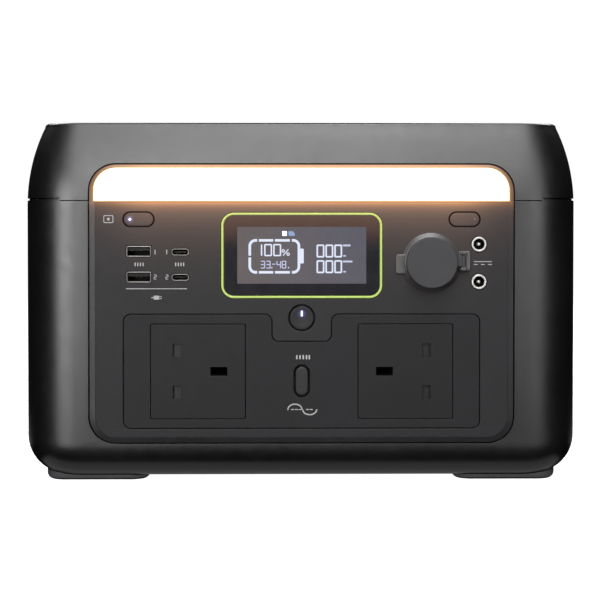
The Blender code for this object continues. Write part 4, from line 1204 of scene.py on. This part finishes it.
def make_feet():
    for end in ("front", "rear"):
        for side in ("left", "right"):
            node = f"foot_{end}_{side}"
            low, high = span(node)
            middle, size = ((low.x + high.x) / 2, (low.y + high.y) / 2), (high.x - low.x, high.y - low.y)
            rings = []
            for u, v in arc((0, 0), FOOT_ROUND, 90, 0, 6):
                inset, level = FOOT_ROUND - u, FOOT_ROUND - v
                footprint = rounded_rect(middle, grown(size, -inset), size[1] / 2 - 0.5 - inset, 16)
                rings.append([(u, v, level) for u, v in footprint])
            rings.append([(u, v, FOOT_TOP) for u, v, _ in rings[-1]])
            foot = cut(loft(f"rubber_{node}", rings), form("seat", FEET - GAP, 60, -GAP))
            soft_edges(foot, 0.25)
            finish_piece(foot, "rubber", (node,))


# Middles of the four screws in the back.
SCREWS = [(x, z) for x in (-100.0, 100.0) for z in (30.0, 97.0)]


def make_rear_details():
    _, high = span("input_flap")
    for k, (x, z) in enumerate(SCREWS):
        head = [(0, -0.4), (2.6, -0.45), (3.3, -0.9), (3.3, -1.9), (0, -1.9)]
        screw = turned("screw", head, (x, REAR_Y, z), "backward", 48, round_by=0.3)
        cut(screw, prism("hex", circle((x, z), 1.75, 6), REAR_Y - 1.5, REAR_Y + 2))
        screw.name = f"rear_screw_{k + 1}"
        screw.data.set_sharp_from_angle(angle=radians(40))
        finish_piece(screw, "dark_steel")
    border = [rounded_rect((0, 129.6), size, r, 8) for size, r in (((103.0, 25.0), 3.0), ((100.4, 22.4), 2.0))]
    relief = [plate("border", border, high.y + 0.35, high.y - 0.3, 0.2, 2)]
    for k in range(5):
        rib = stadium((0, 137.6 - 1.5 * k), (22.0, 0.7), 5)
        relief.append(plate("rib", [rib], high.y + 0.4, high.y - 0.3, 0.15, 2))
    finish_piece(merged("flap_relief", relief, 40), "flap", body="flap")


# ---- materials of the CAD nodes that stay


# The material and edge width of the CAD nodes whose names begin so.
STAYS = {
    "socket_": ("socket", 0.22),
    "shutter_": ("trim", 0.15),
    "handle_pin": ("steel", 0.2),
    "lamp_tray": ("white", 0.3),
    "lamp_led": ("white", 0.1),
    "lcd_module": ("white", 0.2),
    ("control_board", "ac_switch_board", "bms_board", "inverter_board"): ("board", 0.1),
    "battery_cell": ("wrap", 0.5),
    "battery_tray": ("inner", 0.4),
    "inverter_transformer": ("copper", 0.0),
    "heat_sink": ("aluminium", 0.2),
    "fan_": ("inner", 0.25),
    "ac_inlet": ("trim", 0.25),
    "dc_inlet": ("trim", 0.0),
    "breaker_button": ("red", 0.2),
    "input_flap": ("flap", 0.35),
    "inlet_tray": ("trim", 0.3),
}


def dress_frame():
    """Gives every CAD node that still shows its material and softened edges."""
    for name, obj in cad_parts.items():
        for start, (material, edge) in STAYS.items():
            if name.startswith(start):
                paint(obj, material)
                if edge:
                    soft_edges(obj, edge)


# ---- stage, light and camera


BACKDROP = 1.05  # how brightly the floor and the world shine, so that the ground renders white


def make_stage():
    mesh = bpy.data.meshes.new("floor")
    mesh.from_pydata([(-8, -8, 0), (8, -8, 0), (8, 8, 0), (-8, 8, 0)], [], [(0, 1, 2, 3)])
    floor = linked("floor", mesh)
    g = Graph("pale_floor")
    tone = g.blend(g.patches(400.0), (0.86, 0.86, 0.86), (0.88, 0.88, 0.88))
    g.set(base_color=tone, roughness=0.9, emission_color=(1, 1, 1, 1), emission_strength=BACKDROP)
    mesh.materials.append(g.material)
    floor.visible_glossy = False
    floor.visible_diffuse = False

    world = bpy.data.worlds.new("studio")
    world.use_nodes = True
    background = world.node_tree.nodes["Background"]
    background.inputs["Color"].default_value = (1, 1, 1, 1)
    background.inputs["Strength"].default_value = BACKDROP
    world.cycles_visibility.glossy = False
    world.cycles_visibility.diffuse = False
    bpy.context.scene.world = world


def area_light(name, place, aim, size, radiance):
    data = bpy.data.lights.new(name, "AREA")
    data.shape = "RECTANGLE"
    data.size, data.size_y = size
    data.energy = radiance * size[0] * size[1] * math.pi
    light = linked(name, data)
    light.location = place
    light.rotation_euler = (Vector(aim) - Vector(place)).to_track_quat("-Z", "Y").to_euler()
    light.visible_camera = False


LIGHT_AIM = (0.0, -0.05, 0.10)
LIGHT_REACH = 1.6
# Azimuth from the front (right is positive), elevation, width, height and radiance of each soft box.
SOFT_BOXES = {
    "left_front": (-22, 4, 0.45, 0.56, 11.0),
    "right_front": (22, 4, 0.45, 0.56, 3.3),
    "upper_left": (-7, 24, 0.41, 0.56, 7.0),
    "upper_right": (7, 24, 0.41, 0.56, 3.0),
    "upper_far_right": (22, 24, 0.41, 0.56, 2.2),
    "overhead": (0, 44, 0.95, 0.56, 4.6),
    "top_left": (-14, 64, 0.39, 0.56, 4.5),
    "top_right": (14, 64, 0.39, 0.56, 11.0),
    "rear_left": (-140, 50, 0.8, 0.7, 9.0),
    "rear_right": (140, 50, 0.8, 0.7, 9.0),
}
# Light thrown up by the floor: place across and along, width, depth and radiance of each patch.
FLOOR_GLOWS = {
    "floor_far": (0, -0.85, 0.9, 0.3, 1.1),
    "floor_near": (0, -0.095, 0.3, 0.02, 0.32),
    "floor_left": (-0.225, 0.10, 0.11, 0.26, 0.25),
    "floor_right": (0.225, 0.10, 0.11, 0.26, 0.25),
    "floor_rear": (0, 0.46, 0.34, 0.56, 1.8),
}


def make_lights():
    for name, (azimuth, elevation, width, height, radiance) in SOFT_BOXES.items():
        a, e = radians(azimuth), radians(elevation)
        way = Vector((sin(a) * cos(e), -cos(a) * cos(e), sin(e)))
        area_light(name, Vector(LIGHT_AIM) + LIGHT_REACH * way, LIGHT_AIM, (width, height), radiance)
    for name, (x, y, width, depth, radiance) in FLOOR_GLOWS.items():
        area_light(name, (x, y, 0.0012), (x, y, 1.0), (width, depth), radiance)


def make_camera():
    data = bpy.data.cameras.new("camera")
    data.lens = 102.03
    data.shift_y = -0.0640
    data.clip_start, data.clip_end = 0.01, 50
    camera = linked("camera", data)
    camera.location = (-0.01345, -1.003, 0.1355)
    camera.rotation_euler = (radians(90 - 1.13), 0, radians(-0.797))
    bpy.context.scene.camera = camera


bpy.context.scene.view_settings.view_transform = "Standard"

make_camera()
make_front_case()
make_rear_case()
make_top_cover()
make_handle()
make_front_panel()
make_mains_plate()
make_lamp()
make_display()
make_print()
make_buttons()
make_ports()
make_car_socket()
make_feet()
make_rear_details()
dress_frame()
make_stage()
make_lights()
